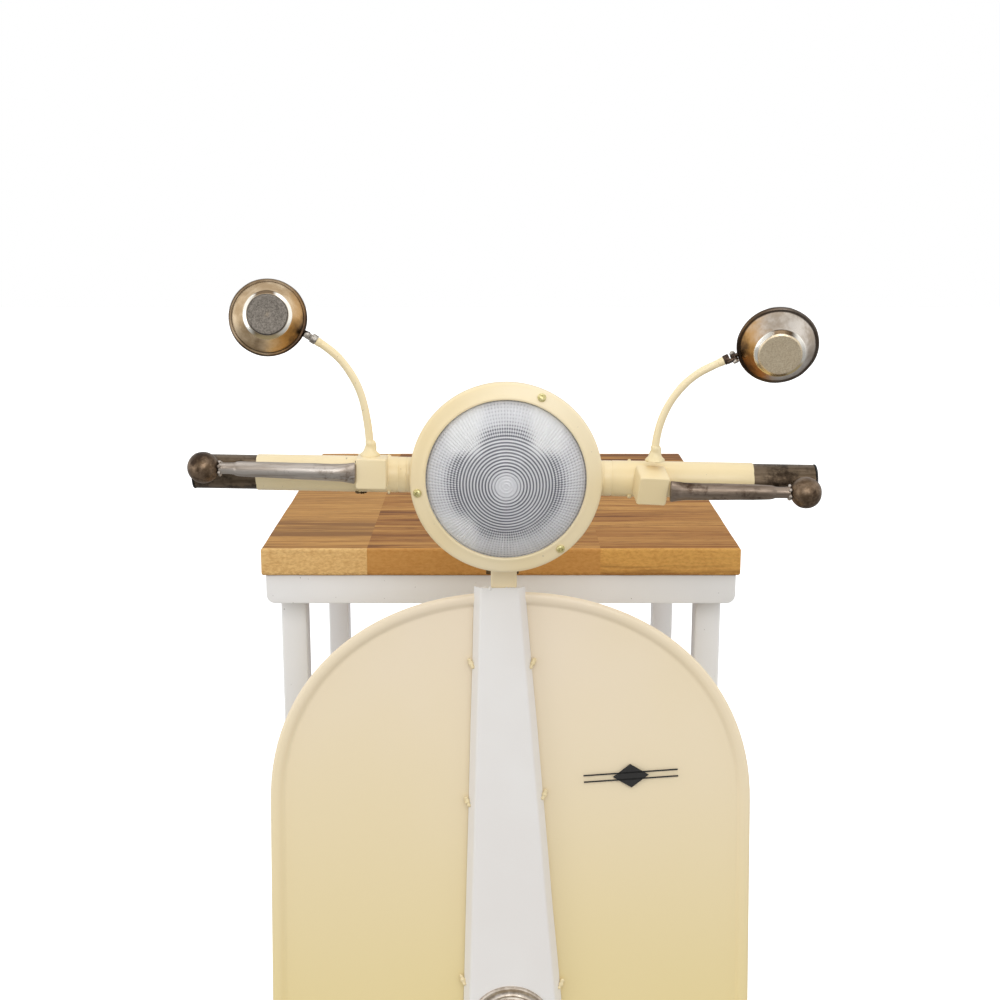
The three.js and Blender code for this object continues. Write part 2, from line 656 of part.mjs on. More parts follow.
const MIRRORS = [
  {
    name: 'left',
    arm: [[-133.5, 1161.8], [-134, 1175], [-135.5, 1192], [-140.7, 1219.6], [-149.3, 1239.9], [-162.4, 1258],
      [-175.5, 1269.4], [-183.8, 1274.9]],
    bolt: [0, -1, 0],
    facing: [0.12, -0.965, 0.22],
    centre: [-229.2, 1296.9],
    radius: MIRROR_RADIUS,
  },
  {
    name: 'right',
    arm: [[149, 1156.3], [148.8, 1168], [149.5, 1176.5], [154.2, 1196.7], [162.8, 1214.9], [175.9, 1232],
      [191.3, 1244.4], [203.5, 1250.6], [213.9, 1255.4]],
    bolt: [0.41, -0.48, -0.78],
    facing: [-0.05, -0.95, -0.305],
    centre: [264.5, 1271.5],
    radius: MIRROR_RADIUS + 2,
  },
];
const MIRROR_Y = FRONT_EDGE_Y - 180;

function buildMirror({ name, arm, bolt, facing, centre, radius }) {
  const group = new THREE.Group();
  const points = arm.map(([x, z]) => new THREE.Vector3(x, MIRROR_Y, z));
  part(`mirror_arm_${name}`, swept(ARM_RADIUS, points, 18, 10), cream, group);

  const tip = points[points.length - 1];
  const out = tip.clone().sub(points[points.length - 2]).normalize();
  const socketLength = 5.5;
  const reach = socketLength + 4.5;   // from the arm's tip to the bolt
  const pivot = tip.clone().addScaledVector(out, GAP + reach);
  const knuckle = knuckleFrame(pivot, out, new THREE.Vector3(...bolt));
  group.add(knuckle);

  // Bracket: a short socket on the arm's end and a flat tongue beside the mirror's ear.
  const earHalf = 1.3;
  const tongueBack = earHalf + 0.5;
  const tongueFront = tongueBack + 2.5;
  const boltRadius = 1.8;
  const earRadius = 3.2;
  const bore = boltRadius + 0.25;
  const socket = new THREE.CylinderGeometry(4.8, 4.8, socketLength, 16)
    .rotateZ(Math.PI / 2).translate(-reach + socketLength / 2, 0, 0);
  const tongueLength = socketLength + 2;
  const tongue = box(tongueLength, 2 * earRadius, tongueFront - tongueBack,
    -tongueLength / 2, 0, (tongueBack + tongueFront) / 2);
  const bracket = join(socket, tongue, rod(earRadius, tongueBack, tongueFront));
  part(`mirror_bracket_${name}`, subtract(bracket, rod(bore, -10, 10, 12)), brownSteel, knuckle);

  // Bolt with its head on the tongue and its nut behind the ear.
  const hexagon = new THREE.CylinderGeometry(earRadius, earRadius, 2.4, 6).rotateX(Math.PI / 2);
  const fastener = join(
    rod(boltRadius, -5.5, tongueFront + 1, 12),
    hexagon.clone().translate(0, 0, tongueFront + GAP + 1.2),
    hexagon.clone().translate(0, 0, -earHalf - 0.5 - 1.2),
  );
  part(`mirror_bolt_${name}`, fastener, bareSteel, knuckle);

  // Mirror: pressed pan with a rolled rim, an ear for the bolt, and a disc of silvered glass.
  const middle = new THREE.Vector3(centre[0], 0, centre[1]);
  const normal = new THREE.Vector3(...facing).normalize();
  const reachDirection = middle.clone().setY(pivot.y).sub(pivot).normalize();
  const flat = reachDirection.addScaledVector(normal, -reachDirection.dot(normal)).normalize();
  const boltAxis = new THREE.Vector3(0, 0, 1).applyQuaternion(knuckle.quaternion);
  const earWay = flat.clone().addScaledVector(boltAxis, -flat.dot(boltAxis)).normalize();
  const earLength = earRadius + 0.5;
  const pan = new THREE.Group();
  pan.position.copy(pivot).addScaledVector(earWay, earLength).addScaledVector(flat, radius);
  pan.quaternion.setFromRotationMatrix(
    new THREE.Matrix4().makeBasis(flat.clone().negate(), normal.clone().cross(flat.clone().negate()), normal),
  );
  group.add(pan);
  const wall = 1.6;
  const step = radius * 0.6;
  const flatRadius = radius * 0.53;
  const shell = turned([
    [0, MIRROR_DEPTH], [flatRadius, MIRROR_DEPTH], [step, MIRROR_DEPTH - 3], [radius - 3, 2], [radius - 1, 2],
    [radius, 0.5], [radius, -1.5], [radius - 1.2, -2.5], [radius - 3, -2.5], [radius - 3, -0.4],
    [step - wall, MIRROR_DEPTH - 4.4], [flatRadius - wall, MIRROR_DEPTH - wall], [0, MIRROR_DEPTH - wall],
  ].reverse(), 24);
  const earFrame = new THREE.Matrix4()
    .makeBasis(earWay, boltAxis.clone().cross(earWay), boltAxis).setPosition(pivot);
  pan.updateMatrixWorld(true);
  const toPan = earFrame.premultiply(pan.matrixWorld.clone().invert());
  const ear = join(
    box(earLength + 2, 2 * earRadius, 2 * earHalf, (earLength + 2) / 2, 0, 0),
    rod(earRadius, -earHalf, earHalf),
  ).applyMatrix4(toPan);
  const hole = rod(bore, -3, 3, 12).applyMatrix4(toPan);
  part(`mirror_shell_${name}`, subtract(join(shell, ear), hole), brownSteel, pan);
  const disc = turned([
    [0, -2.4], [radius - 4, -2.4], [radius - 3.4, -2], [radius - 3.4, -0.8], [0, -0.8],
  ], 24);
  part(`mirror_glass_${name}`, disc, silver, pan);
  return group;
}

// ---- front wheel --------------------------------------------------------------------------

function buildWheel() {
  const wheel = new THREE.Group();
  wheel.position.set(NOSE_X, WHEEL_Y, WHEEL_RADIUS);
  const spindle = new THREE.Group();
  spindle.rotation.y = Math.PI / 2;   // its +z runs along the axle
  wheel.add(spindle);

  const hubHalf = 34;
  const bore = AXLE_RADIUS + 0.1;
  part('wheel_rim', turned([
    [bore, -hubHalf], [20, -hubHalf], [20, -12], [34, -6], [80, -6], [98, -16], [104, -30], [RIM_RADIUS + 4, -30],
    [RIM_RADIUS + 4, -27], [RIM_RADIUS - 2, -22], [RIM_RADIUS - 4, 0], [RIM_RADIUS - 2, 22], [RIM_RADIUS + 4, 27],
    [RIM_RADIUS + 4, 30], [104, 30], [100, 10], [80, -1], [34, -1], [20, 8], [20, hubHalf], [bore, hubHalf],
    [bore, -hubHalf],
  ], 32), white, spindle);
  const inner = RIM_RADIUS + 4 + GAP;
  part('tyre', turned([
    [RIM_RADIUS - 1.5, -20], [inner, -26.5], [inner, -31], [inner + 8, -38], [140, -TYRE_HALF_WIDTH],
    [156, -34], [166, -20], [WHEEL_RADIUS, 0], [166, 20], [156, 34], [140, TYRE_HALF_WIDTH], [inner + 8, 38],
    [inner, 31], [inner, 26.5], [RIM_RADIUS - 1.5, 20], [RIM_RADIUS - 3.4, 0], [RIM_RADIUS - 1.5, -20],
  ], 32), rubber, spindle);

  // Axle bolt through both fork blades, with its nut.
  const blade = 12;
  const reach = FORK_X + blade / 2 + GAP;
  const hexagon = new THREE.CylinderGeometry(11, 11, 9, 6).rotateX(Math.PI / 2);
  part('axle_bolt', join(rod(AXLE_RADIUS, -reach - 4, reach + 16, 30), hexagon.clone().translate(0, 0, -reach - 4.5)),
    bareSteel, spindle);
  const nut = subtract(hexagon.clone().translate(0, 0, reach + 4.5), rod(AXLE_RADIUS + 0.25, reach - 5, reach + 20));
  part('axle_nut', nut, bareSteel, spindle);

  // Fork: two blades down from a crown that sits under the steering column.
  const crownY = FRONT_EDGE_Y - SHIELD_AHEAD - (SHIELD_TOP_Z - CROWN_Z) * Math.tan(RAKE) + 4 - WHEEL_Y;
  const crownZ = CROWN_Z - WHEEL_RADIUS;
  const bladeLength = Math.hypot(crownY, crownZ);
  const angle = Math.atan2(crownY, crownZ);
  let fork = box(2 * FORK_X + blade, 34, 22, 0, crownY, crownZ);
  for (const [, side] of SIDES) {
    const bladeShape = box(blade, 24, bladeLength, 0, 0, bladeLength / 2).rotateX(-angle)
      .translate(side * FORK_X, 0, 0);
    const eye = new THREE.CylinderGeometry(16, 16, blade, 24).rotateZ(Math.PI / 2).translate(side * FORK_X, 0, 0);
    fork = join(fork, bladeShape, eye);
  }
  const axleHole = new THREE.CylinderGeometry(AXLE_RADIUS + 0.25, AXLE_RADIUS + 0.25, 200, 24).rotateZ(Math.PI / 2);
  part('front_fork', subtract(fork, axleHole), cream, wheel);

  // Mudguard: a deep U section swept over the wheel, cut off at the front and behind.
  const profile = (grow) => [
    [GUARD_RADIUS - 52, -GUARD_HALF_WIDTH - grow], [GUARD_RADIUS - 30, -GUARD_HALF_WIDTH - grow],
    [GUARD_RADIUS - 13, -GUARD_HALF_WIDTH + 9 - grow], [GUARD_RADIUS - 4 + grow, -GUARD_HALF_WIDTH + 26],
    [GUARD_RADIUS + grow, 0], [GUARD_RADIUS - 4 + grow, GUARD_HALF_WIDTH - 26],
    [GUARD_RADIUS - 13, GUARD_HALF_WIDTH - 9 + grow], [GUARD_RADIUS - 30, GUARD_HALF_WIDTH + grow],
    [GUARD_RADIUS - 52, GUARD_HALF_WIDTH + grow],
  ];
  const outer = profile(0);
  const section = [...outer, ...profile(-GUARD_SHEET).reverse(), outer[0]];
  const hoop = turned(section, 48).rotateY(Math.PI / 2);
  const keep = new THREE.Shape();
  const sweep = [];
  for (let i = 0; i <= 10; i++) sweep.push(THREE.MathUtils.degToRad(8 + (148 - 8) * i / 10));
  keep.moveTo(0, 0);
  for (const a of sweep) keep.lineTo(300 * Math.cos(a), 300 * Math.sin(a));
  keep.closePath();
  const wedge = new THREE.ExtrudeGeometry(keep, { depth: 200, bevelEnabled: false })
    .rotateY(Math.PI / 2).rotateX(Math.PI / 2).translate(-100, 0, 0);
  part('mudguard', toGeometry(toSolid(hoop).intersect(toSolid(wedge))), cream, wheel);
  return wheel;
}

// ---- assembly -----------------------------------------------------------------------------

const model = new THREE.Group();
model.add(buildTable());
model.add(buildShield());
buildStruts(model);
model.add(buildHeadlight());
model.add(buildHandlebar());
for (const mirror of MIRRORS) model.add(buildMirror(mirror));
model.add(buildWheel());

export default model;
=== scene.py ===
import math

import bpy
from mathutils import Matrix, Vector, noise


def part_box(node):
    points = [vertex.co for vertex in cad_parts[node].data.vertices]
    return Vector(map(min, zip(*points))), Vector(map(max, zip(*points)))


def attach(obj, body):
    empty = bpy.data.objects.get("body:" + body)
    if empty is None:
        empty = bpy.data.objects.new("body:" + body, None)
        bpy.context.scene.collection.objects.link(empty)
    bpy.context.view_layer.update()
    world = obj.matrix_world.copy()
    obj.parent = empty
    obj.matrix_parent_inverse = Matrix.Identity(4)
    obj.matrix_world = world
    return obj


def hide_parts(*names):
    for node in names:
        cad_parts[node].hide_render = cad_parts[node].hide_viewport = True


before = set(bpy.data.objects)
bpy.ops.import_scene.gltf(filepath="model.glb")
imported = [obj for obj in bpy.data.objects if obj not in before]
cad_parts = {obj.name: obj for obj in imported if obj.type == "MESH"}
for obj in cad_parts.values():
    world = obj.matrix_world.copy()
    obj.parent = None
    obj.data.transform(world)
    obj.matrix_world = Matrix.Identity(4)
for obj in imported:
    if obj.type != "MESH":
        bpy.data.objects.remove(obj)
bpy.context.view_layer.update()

# ---- camera ---------------------------------------------------------------------------------
# A standing person's eye, square on to the scooter's nose and looking a little down at it.
eye = bpy.data.cameras.new("eye")
eye.sensor_width = 36
eye.lens = 52.78
camera = bpy.data.objects.new("camera", eye)
camera.location = (-0.005, -1.6715, 1.429)
camera.rotation_euler = (math.radians(77.65), 0, 0)
bpy.context.scene.collection.objects.link(camera)
bpy.context.scene.camera = camera
bpy.context.scene.view_settings.view_transform = "Standard"

# ---- studio ---------------------------------------------------------------------------------
# A plain white floor and surround. Two large soft boxes, one above and in front and a weaker one
# low down on the left, and a long strip overhead that draws the bright line along the tubes.


class Wire:
    """One output of a shader node, which Python arithmetic adds Math nodes to."""

    def __init__(self, mix, socket):
        self.mix = mix
        self.socket = socket

    def maths(self, operation, *terms):
        return self.mix.node("ShaderNodeMath", {"operation": operation}, dict(enumerate(terms)))

    def __abs__(self):
        return self.maths("ABSOLUTE", self)

    def __add__(self, other):
        return self.maths("ADD", self, other)

    def __sub__(self, other):
        return self.maths("SUBTRACT", self, other)

    def __mul__(self, other):
        return self.maths("MULTIPLY", self, other)

    def __pow__(self, other):
        return self.maths("POWER", self, other)

    def __radd__(self, other):
        return self.maths("ADD", other, self)

    def __rsub__(self, other):
        return self.maths("SUBTRACT", other, self)

    def __rmul__(self, other):
        return self.maths("MULTIPLY", other, self)

    def __gt__(self, other):
        return self.maths("GREATER_THAN", self, other)

    def __lt__(self, other):
        return self.maths("LESS_THAN", self, other)

    def between(self, low, high):
        """0 at low, 1 at high, and a smooth rise between them."""
        limits = {0: self, 1: low, 2: high}
        return self.mix.node("ShaderNodeMapRange", {"interpolation_type": "SMOOTHSTEP"}, limits)


class Nodes:
    """A node tree that nodes are added to."""

    def __init__(self, owner):
        owner.use_nodes = True
        self.tree = owner.node_tree

    def node(self, kind, settings=None, inputs=None, out=0):
        made = self.tree.nodes.new(kind)
        for key, value in (settings or {}).items():
            setattr(made, key, value)
        for key, value in (inputs or {}).items():
            if isinstance(value, Wire):
                self.tree.links.new(value.socket, made.inputs[key])
            else:
                made.inputs[key].default_value = value
        return Wire(self, made.outputs[out])


class Finish(Nodes):
    """A procedural material that is built up from Object coordinates."""

    def __init__(self, name, **constants):
        self.material = bpy.data.materials.new(name)
        super().__init__(self.material)
        self.shader = self.tree.nodes["Principled BSDF"]
        for socket, value in constants.items():
            self.shader.inputs[socket.replace("_", " ")].default_value = value
        self.place = self.node("ShaderNodeTexCoord", out="Object")

    def axes(self):
        """The x, y and z of a point on the piece, in metres."""
        return [self.node("ShaderNodeSeparateXYZ", None, {0: self.place}, out=k) for k in range(3)]

    def speckle(self, scale, detail=2, stretch=(1, 1, 1), shift=(0, 0, 0), turn=(0, 0, 0), rough=0.5):
        """Noise from 0 to 1; a stretch below 1 draws it out along that axis."""
        at = {"Vector": self.place, "Scale": stretch, "Location": shift, "Rotation": turn}
        where = self.node("ShaderNodeMapping", None, at)
        grain = {"Vector": where, "Scale": scale, "Detail": detail, "Roughness": rough}
        return self.node("ShaderNodeTexNoise", None, grain)

    def blend(self, share, first, second):
        """Goes from the first colour to the second one as share goes from 0 to 1."""
        return self.node("ShaderNodeMix", {"data_type": "RGBA"}, {0: share, 6: first, 7: second}, out=2)

    def give(self, socket, value):
        self.tree.links.new(value.socket, self.shader.inputs[socket])

    def relief(self, height, depth, strength=1.0):
        """Raises the surface by height, in units of depth, which is in metres."""
        level = {"Height": height, "Distance": depth, "Strength": strength}
        self.give("Normal", self.node("ShaderNodeBump", None, level))


def tint(red, green, blue):
    """A colour given as screen values from 0 to 255."""
    return [((c / 255 + 0.055) / 1.055) ** 2.4 for c in (red, green, blue)] + [1]


world = bpy.data.worlds.new("surround")
bpy.context.scene.world = world
studio = Nodes(world)
toward = studio.node("ShaderNodeTexCoord", out="Generated")
side, _, up = [studio.node("ShaderNodeSeparateXYZ", None, {0: toward}, out=k) for k in range(3)]
lit = 0.40 + 0.28 * up.between(-0.35, 0.05) + 0.16 * up.between(0.1, 0.8)
lit = lit + 0.35 * abs(side).between(0.45, 0.9) * up.between(-0.5, 0.0)
seen = studio.node("ShaderNodeLightPath", out="Is Camera Ray")
studio.tree.links.new((lit * (1 - seen) + seen).socket, studio.tree.nodes["Background"].inputs["Strength"])
studio.tree.nodes["Background"].inputs["Color"].default_value = (1, 1, 1, 1)

for name, place, aim, width, height, watts in (
    ("soft_box_above", (0.3, -2.4, 2.3), (0, -0.1, 0.8), 1.6, 1.2, 16.5),
    ("soft_box_left", (-2.4, -1.6, 1.3), (0, -0.1, 0.8), 1.2, 1.6, 7),
    ("strip_light", (-0.1, -0.3, 2.8), (-0.1, -0.2, 0), 2.4, 0.5, 5),
):
    lamp = bpy.data.lights.new(name, "AREA")
    lamp.shape = "RECTANGLE"
    lamp.size = width
    lamp.size_y = height
    lamp.energy = watts
    holder = bpy.data.objects.new(name, lamp)
    holder.location = place
    holder.rotation_euler = (Vector(aim) - Vector(place)).to_track_quat("-Z", "Y").to_euler()
    bpy.context.scene.collection.objects.link(holder)

bpy.ops.object.select_all(action="DESELECT")
bpy.ops.mesh.primitive_plane_add(size=30, location=(0, 0, 0))
floor = bpy.context.object
floor.name = "floor"
white_floor = Finish("white_floor", Base_Color=(0.9, 0.9, 0.9, 1), Roughness=0.9, Specular_IOR_Level=0.1,
                     Emission_Color=(1, 1, 1, 1), Emission_Strength=0.62)
floor.data.materials.append(white_floor.material)
floor.visible_diffuse = False
floor.visible_glossy = False

# ---- wooden top and shelf -------------------------------------------------------------------
# Two boards glued up from short lengths of mango wood, butted end to end, with the grain running
# across the table. The edges are eased by hand, so they are soft and not quite straight, and the
# wood is oiled: honey coloured, with dark brown streaks and open pores.


def pick(piece, kind, test):
    """In edit mode, selects the vertices, edges or faces for which test is true."""
    bpy.ops.object.mode_set(mode="EDIT")
    bpy.ops.mesh.select_mode(type=kind)
    bpy.ops.mesh.select_all(action="DESELECT")
    bpy.ops.object.mode_set(mode="OBJECT")
    mesh = piece.data
    for item in {"VERT": mesh.vertices, "EDGE": mesh.edges, "FACE": mesh.polygons}[kind]:
        item.select = bool(test(item))
    bpy.ops.object.mode_set(mode="EDIT")


def modify(piece, kind, **settings):
    """Adds one modifier and applies it."""
    bpy.context.view_layer.objects.active = piece
    modifier = piece.modifiers.new(kind.lower(), kind)
    for key, value in settings.items():
        setattr(modifier, key, value)
    bpy.ops.object.modifier_apply(modifier=modifier.name)


def primitive(add, name, **shape):
    """Adds one primitive with nothing else selected and names it."""
    bpy.ops.object.select_all(action="DESELECT")
    add(**shape)
    piece = bpy.context.object
    piece.name = piece.data.name = name
    return piece


def fix(piece, matrix=None):
    """Puts a piece's place into its mesh."""
    bpy.ops.object.select_all(action="DESELECT")
    piece.select_set(True)
    bpy.context.view_layer.objects.active = piece
    if matrix is not None:
        piece.matrix_world = matrix
    bpy.ops.object.transform_apply(location=True, rotation=True, scale=True)
    return piece


def hand_over(piece, finish, body, slot, *nodes, crease=32):
    """Gives a piece its finish and shading, and says which body it rides on and what it replaces."""
    fix(piece)
    piece.data.materials.clear()
    piece.data.materials.append(finish.material)
    bpy.ops.object.shade_smooth_by_angle(angle=math.radians(crease))
    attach(piece, body)
    if nodes:
        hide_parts(*nodes)
    return piece


def dent(piece, size, depth, seed=0):
    """Moves the surface in and out by a slow random swell of that size, in metres."""
    shift = Vector((seed * 3.1, seed * 7.7, seed * 1.3))
    for vertex, normal in zip(piece.data.vertices, [v.normal.copy() for v in piece.data.vertices]):
        vertex.co += normal * depth * noise.noise(vertex.co / size + shift)


def cut(places, normal, **settings):
    """Cuts the active piece along a row of planes that all face one way."""
    bpy.ops.object.mode_set(mode="EDIT")
    for place in places:
        bpy.ops.mesh.select_all(action="SELECT")
        bpy.ops.mesh.bisect(plane_co=place, plane_no=normal, **settings)
    bpy.ops.object.mode_set(mode="OBJECT")


def board(name, node, easing):
    """A board the size of its CAD node, with eased and slightly uneven edges."""
    low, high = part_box(node)
    piece = primitive(bpy.ops.mesh.primitive_cube_add, name, size=1, location=(low + high) / 2)
    piece.scale = high - low - Vector((0.0006, 0.0006, 0.0004))
    fix(piece)
    modify(piece, "BEVEL", width=easing, segments=4, limit_method="ANGLE")
    cuts = 30
    cut([(low.x + (high.x - low.x) * k / cuts, 0, 0) for k in range(1, cuts)], (1, 0, 0))
    cut([(0, low.y + (high.y - low.y) * k / cuts, 0) for k in range(1, cuts)], (0, 1, 0))
    dent(piece, 0.05, 0.0004, seed=2)
    return piece


def wood(name, joint_left, joint_right, joint_depth, front_y):
    """Glued-up wood: three lengths meet at the joints, each with its own figure and tone."""
    oiled = Finish(name, Specular_IOR_Level=0.22)
    x, y, z = oiled.axes()
    left = x < joint_left
    right = (x > joint_right) * (y < joint_depth)
    behind = (y > joint_depth + 0.13) * (x > 0.02)
    length = left * 3.0 + right * 7.0 + behind * 5.0
    offset = oiled.node("ShaderNodeCombineXYZ", None, {0: length, 1: length * 0.7, 2: length * 0.3})
    moved = oiled.node("ShaderNodeVectorMath", {"operation": "ADD"}, {0: oiled.place, 1: offset})
    oiled.place = moved
    slow = oiled.speckle(4, 3, (0.5, 2.2, 1.6))
    streaks = oiled.speckle(16, 6, (0.14, 3.6, 2.6), rough=0.66)
    fine = oiled.speckle(60, 8, (0.09, 3.6, 2.6), rough=0.75)
    pores = oiled.speckle(400, 3, (0.07, 1.3, 1.2), rough=0.6)
    mottle = oiled.speckle(380, 5, (0.5, 1, 1), rough=0.75)
    edge = y < front_y + 0.0035
    base = oiled.blend(streaks.between(0.3, 0.72), tint(198, 148, 82), tint(154, 102, 50))
    base = oiled.blend(fine.between(0.46, 0.64) * 0.85, base, tint(128, 78, 38))
    base = oiled.blend((slow * 0.5 + streaks * 0.5).between(0.50, 0.60) * 0.85, base, tint(104, 62, 34))
    base = oiled.blend(pores.between(0.56, 0.66) * 0.6, base, tint(84, 50, 28))
    base = oiled.blend(left * 0.18, base, tint(214, 170, 104))
    base = oiled.blend(right * 0.22, base, tint(150, 98, 48))
    tone = oiled.blend(left, oiled.blend(right, tint(212, 156, 86), tint(232, 178, 96)), tint(244, 204, 138))
    sawn = oiled.blend(mottle.between(0.35, 0.7) * 0.55, tone, tint(186, 124, 58))
    sawn = oiled.blend(streaks.between(0.52, 0.66) * (1 - left * 0.7) * 0.6, sawn, tint(140, 90, 48))
    base = oiled.blend(edge * 0.9, base, sawn)
    low_edge = z.between(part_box("table_top")[0].z + 0.006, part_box("table_top")[0].z)
    base = oiled.blend(edge * low_edge * mottle.between(0.35, 0.6) * 0.5, base, tint(120, 76, 34))
    oiled.give("Base Color", base)
    oiled.give("Roughness", 0.58 + 0.25 * fine)
    oiled.relief(fine * 0.5 + pores * 0.5, 0.0006, 0.5)
    return oiled


top_low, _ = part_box("table_top")
wooden_top = board("wooden_top", "table_top", 0.0028)
top_wood = wood("mango_wood_top", -0.156, 0.109, top_low.y + 0.1, top_low.y)
hand_over(wooden_top, top_wood, "stand", "mango_wood", "table_top")
shelf_low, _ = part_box("shelf_board")
wooden_shelf = board("wooden_shelf", "shelf_board", 0.0022)
shelf_wood = wood("mango_wood_shelf", -0.09, 0.14, shelf_low.y + 0.16, shelf_low.y)
hand_over(wooden_shelf, shelf_wood, "stand", "mango_wood", "shelf_board")

# ---- white frame ----------------------------------------------------------------------------
# The table frame is square steel tube, sawn, welded and powder coated white: four rails under
# the wood, four legs, two shelf rails and four struts that reach forward to the scooter's shield.


def from_frame(node, name, width, segments=3, angle=25):
    """A copy of a CAD node with its loose triangles merged and its edges rounded."""
    piece = bpy.data.objects.new(name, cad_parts[node].data.copy())
    piece.data.name = name
    bpy.context.scene.collection.objects.link(piece)
    bpy.ops.object.select_all(action="DESELECT")
    piece.select_set(True)
    bpy.context.view_layer.objects.active = piece
    bpy.ops.object.mode_set(mode="EDIT")
    bpy.ops.mesh.select_all(action="SELECT")
    bpy.ops.mesh.remove_doubles(threshold=1e-5)
    bpy.ops.mesh.dissolve_limited(angle_limit=math.radians(0.6))
    bpy.ops.object.mode_set(mode="OBJECT")
    if width:
        modify(piece, "BEVEL", width=width, segments=segments, limit_method="ANGLE",
               angle_limit=math.radians(angle))
    return piece


def coat(name, light, dark, pinholes=0.0, **constants):
    """Powder coat: almost even in colour, slightly orange-peeled, with a few pinholes."""
    settings = {"Roughness": 0.36, "Coat_Weight": 0.25, "Coat_Roughness": 0.25}
    settings.update(constants)
    sprayed = Finish(name, **settings)
    cloud = sprayed.speckle(5, 3)
    peel = sprayed.speckle(420, 3)
    base = sprayed.blend(cloud.between(0.35, 0.65), light, dark)
    if pinholes:
        specks = sprayed.speckle(230, 1, shift=(4, 2, 7)).between(0.80 - pinholes, 0.83 - pinholes)
        base = sprayed.blend(specks * 0.55, base, tint(120, 112, 100))
    sprayed.give("Base Color", base)
    sprayed.give("Roughness", 0.30 + 0.14 * cloud)
    sprayed.relief(peel, 0.00025, 0.35)
    return sprayed


white_coat = coat("white_powder_coat", tint(246, 245, 244), tint(240, 239, 237), pinholes=0.02)
for node in ("apron_front", "apron_back"):
    rail = from_frame(node, node.replace("apron", "rail"), 0.0012, 3)
    hand_over(rail, white_coat, "stand", "white_paint", node)
for node in ("apron_left", "apron_right", "leg_front_left", "leg_front_right", "leg_back_left",
             "leg_back_right", "shelf_rail_front", "shelf_rail_back", "strut_upper_left",
             "strut_upper_right", "strut_lower_left", "strut_lower_right"):
    hand_over(from_frame(node, node + "_tube", 0.0007, 2), white_coat, "stand", "white_paint", node)

# ---- feet -----------------------------------------------------------------------------------
# Black plastic plugs pushed into the legs, each with a ribbed rim that the table stands on.
black_plastic = Finish("black_plastic", Roughness=0.5, Specular_IOR_Level=0.4)
mould = black_plastic.speckle(700, 3)
scuff = black_plastic.speckle(60, 5, rough=0.7)
plastic = black_plastic.blend(scuff.between(0.45, 0.7), tint(30, 29, 28), tint(58, 55, 52))
black_plastic.give("Base Color", plastic)
black_plastic.give("Roughness", 0.4 + 0.3 * scuff)
black_plastic.relief(mould, 0.0002, 0.4)
for node in ("foot_front_left", "foot_front_right", "foot_back_left", "foot_back_right"):
    hand_over(from_frame(node, node + "_plug", 0.0012, 3), black_plastic, "stand", "black_plastic", node)

# ---- leg shield -----------------------------------------------------------------------------
# Two sheet steel panels that lean back at the top, arched like a scooter's leg shield. A swage is
# pressed all along the outer edge and round the wheel opening, and the sheet is painted cream.
left_low, left_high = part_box("shield_panel_left")
_, right_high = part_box("shield_panel_right")
rake = math.radians(8.17)
shield_half = (right_high.x - left_low.x) / 2
shield_top = Vector(((left_low.x + right_high.x) / 2, left_high.y - 0.003 * math.cos(rake), left_high.z))
shield_frame = Matrix.Translation(shield_top) @ Matrix.Rotation(-rake, 4, "X")
arch_height = 0.225
arch_power = 2.15
shield_drop = (left_high.z - left_low.z) / math.cos(rake) - 0.0006
corner_radius = 0.060
opening_half = 0.082
opening_top = -0.581
opening_roll = 0.030
strip_lean = math.tan(math.radians(1.76))
strip_length = 0.579
strip_rise = 0.006
strip_shift = -0.0115
strip_half = 0.0265
strip_spread = 0.0335
swage = (
    (0.0004, -0.0018), (0.0010, -0.0013), (0.0014, -0.0006), (0.0018, -0.0003), (0.0024, 0.0),
    (0.0022, 0.0006), (0.0018, 0.0011), (0.0014, 0.0013), (0.0012, 0.0011), (0.0012, 0.0005), (0.0016, 0.0),
)


def strip_edge(z, side):
    """Where the edge of the centre strip runs at a height z down the shield."""
    share = (strip_rise - z) / strip_length
    return strip_shift + (strip_rise - z) * strip_lean + side * (strip_half + strip_spread * share)


def trace(name, points):
    """Draws a chain of points as an edge, starting from a primitive shrunk to one point."""
    piece = primitive(bpy.ops.mesh.primitive_plane_add, name, size=0.01)
    bpy.ops.object.mode_set(mode="EDIT")
    bpy.ops.mesh.select_mode(type="VERT")
    bpy.ops.mesh.merge(type="CENTER")
    bpy.ops.transform.translate(value=points[0])
    for start, end in zip(points, points[1:]):
        step = Vector(end) - Vector(start)
        bpy.ops.mesh.extrude_region_move(TRANSFORM_OT_translate={"value": step})
    return piece


def finish_shell(merge=True):
    """Merges the doubles of the mesh in edit mode, turns its faces outwards and leaves edit mode."""
    bpy.ops.mesh.select_all(action="SELECT")
    if merge:
        bpy.ops.mesh.remove_doubles(threshold=1e-6)
    bpy.ops.mesh.normals_make_consistent(inside=False)
    bpy.ops.object.mode_set(mode="OBJECT")


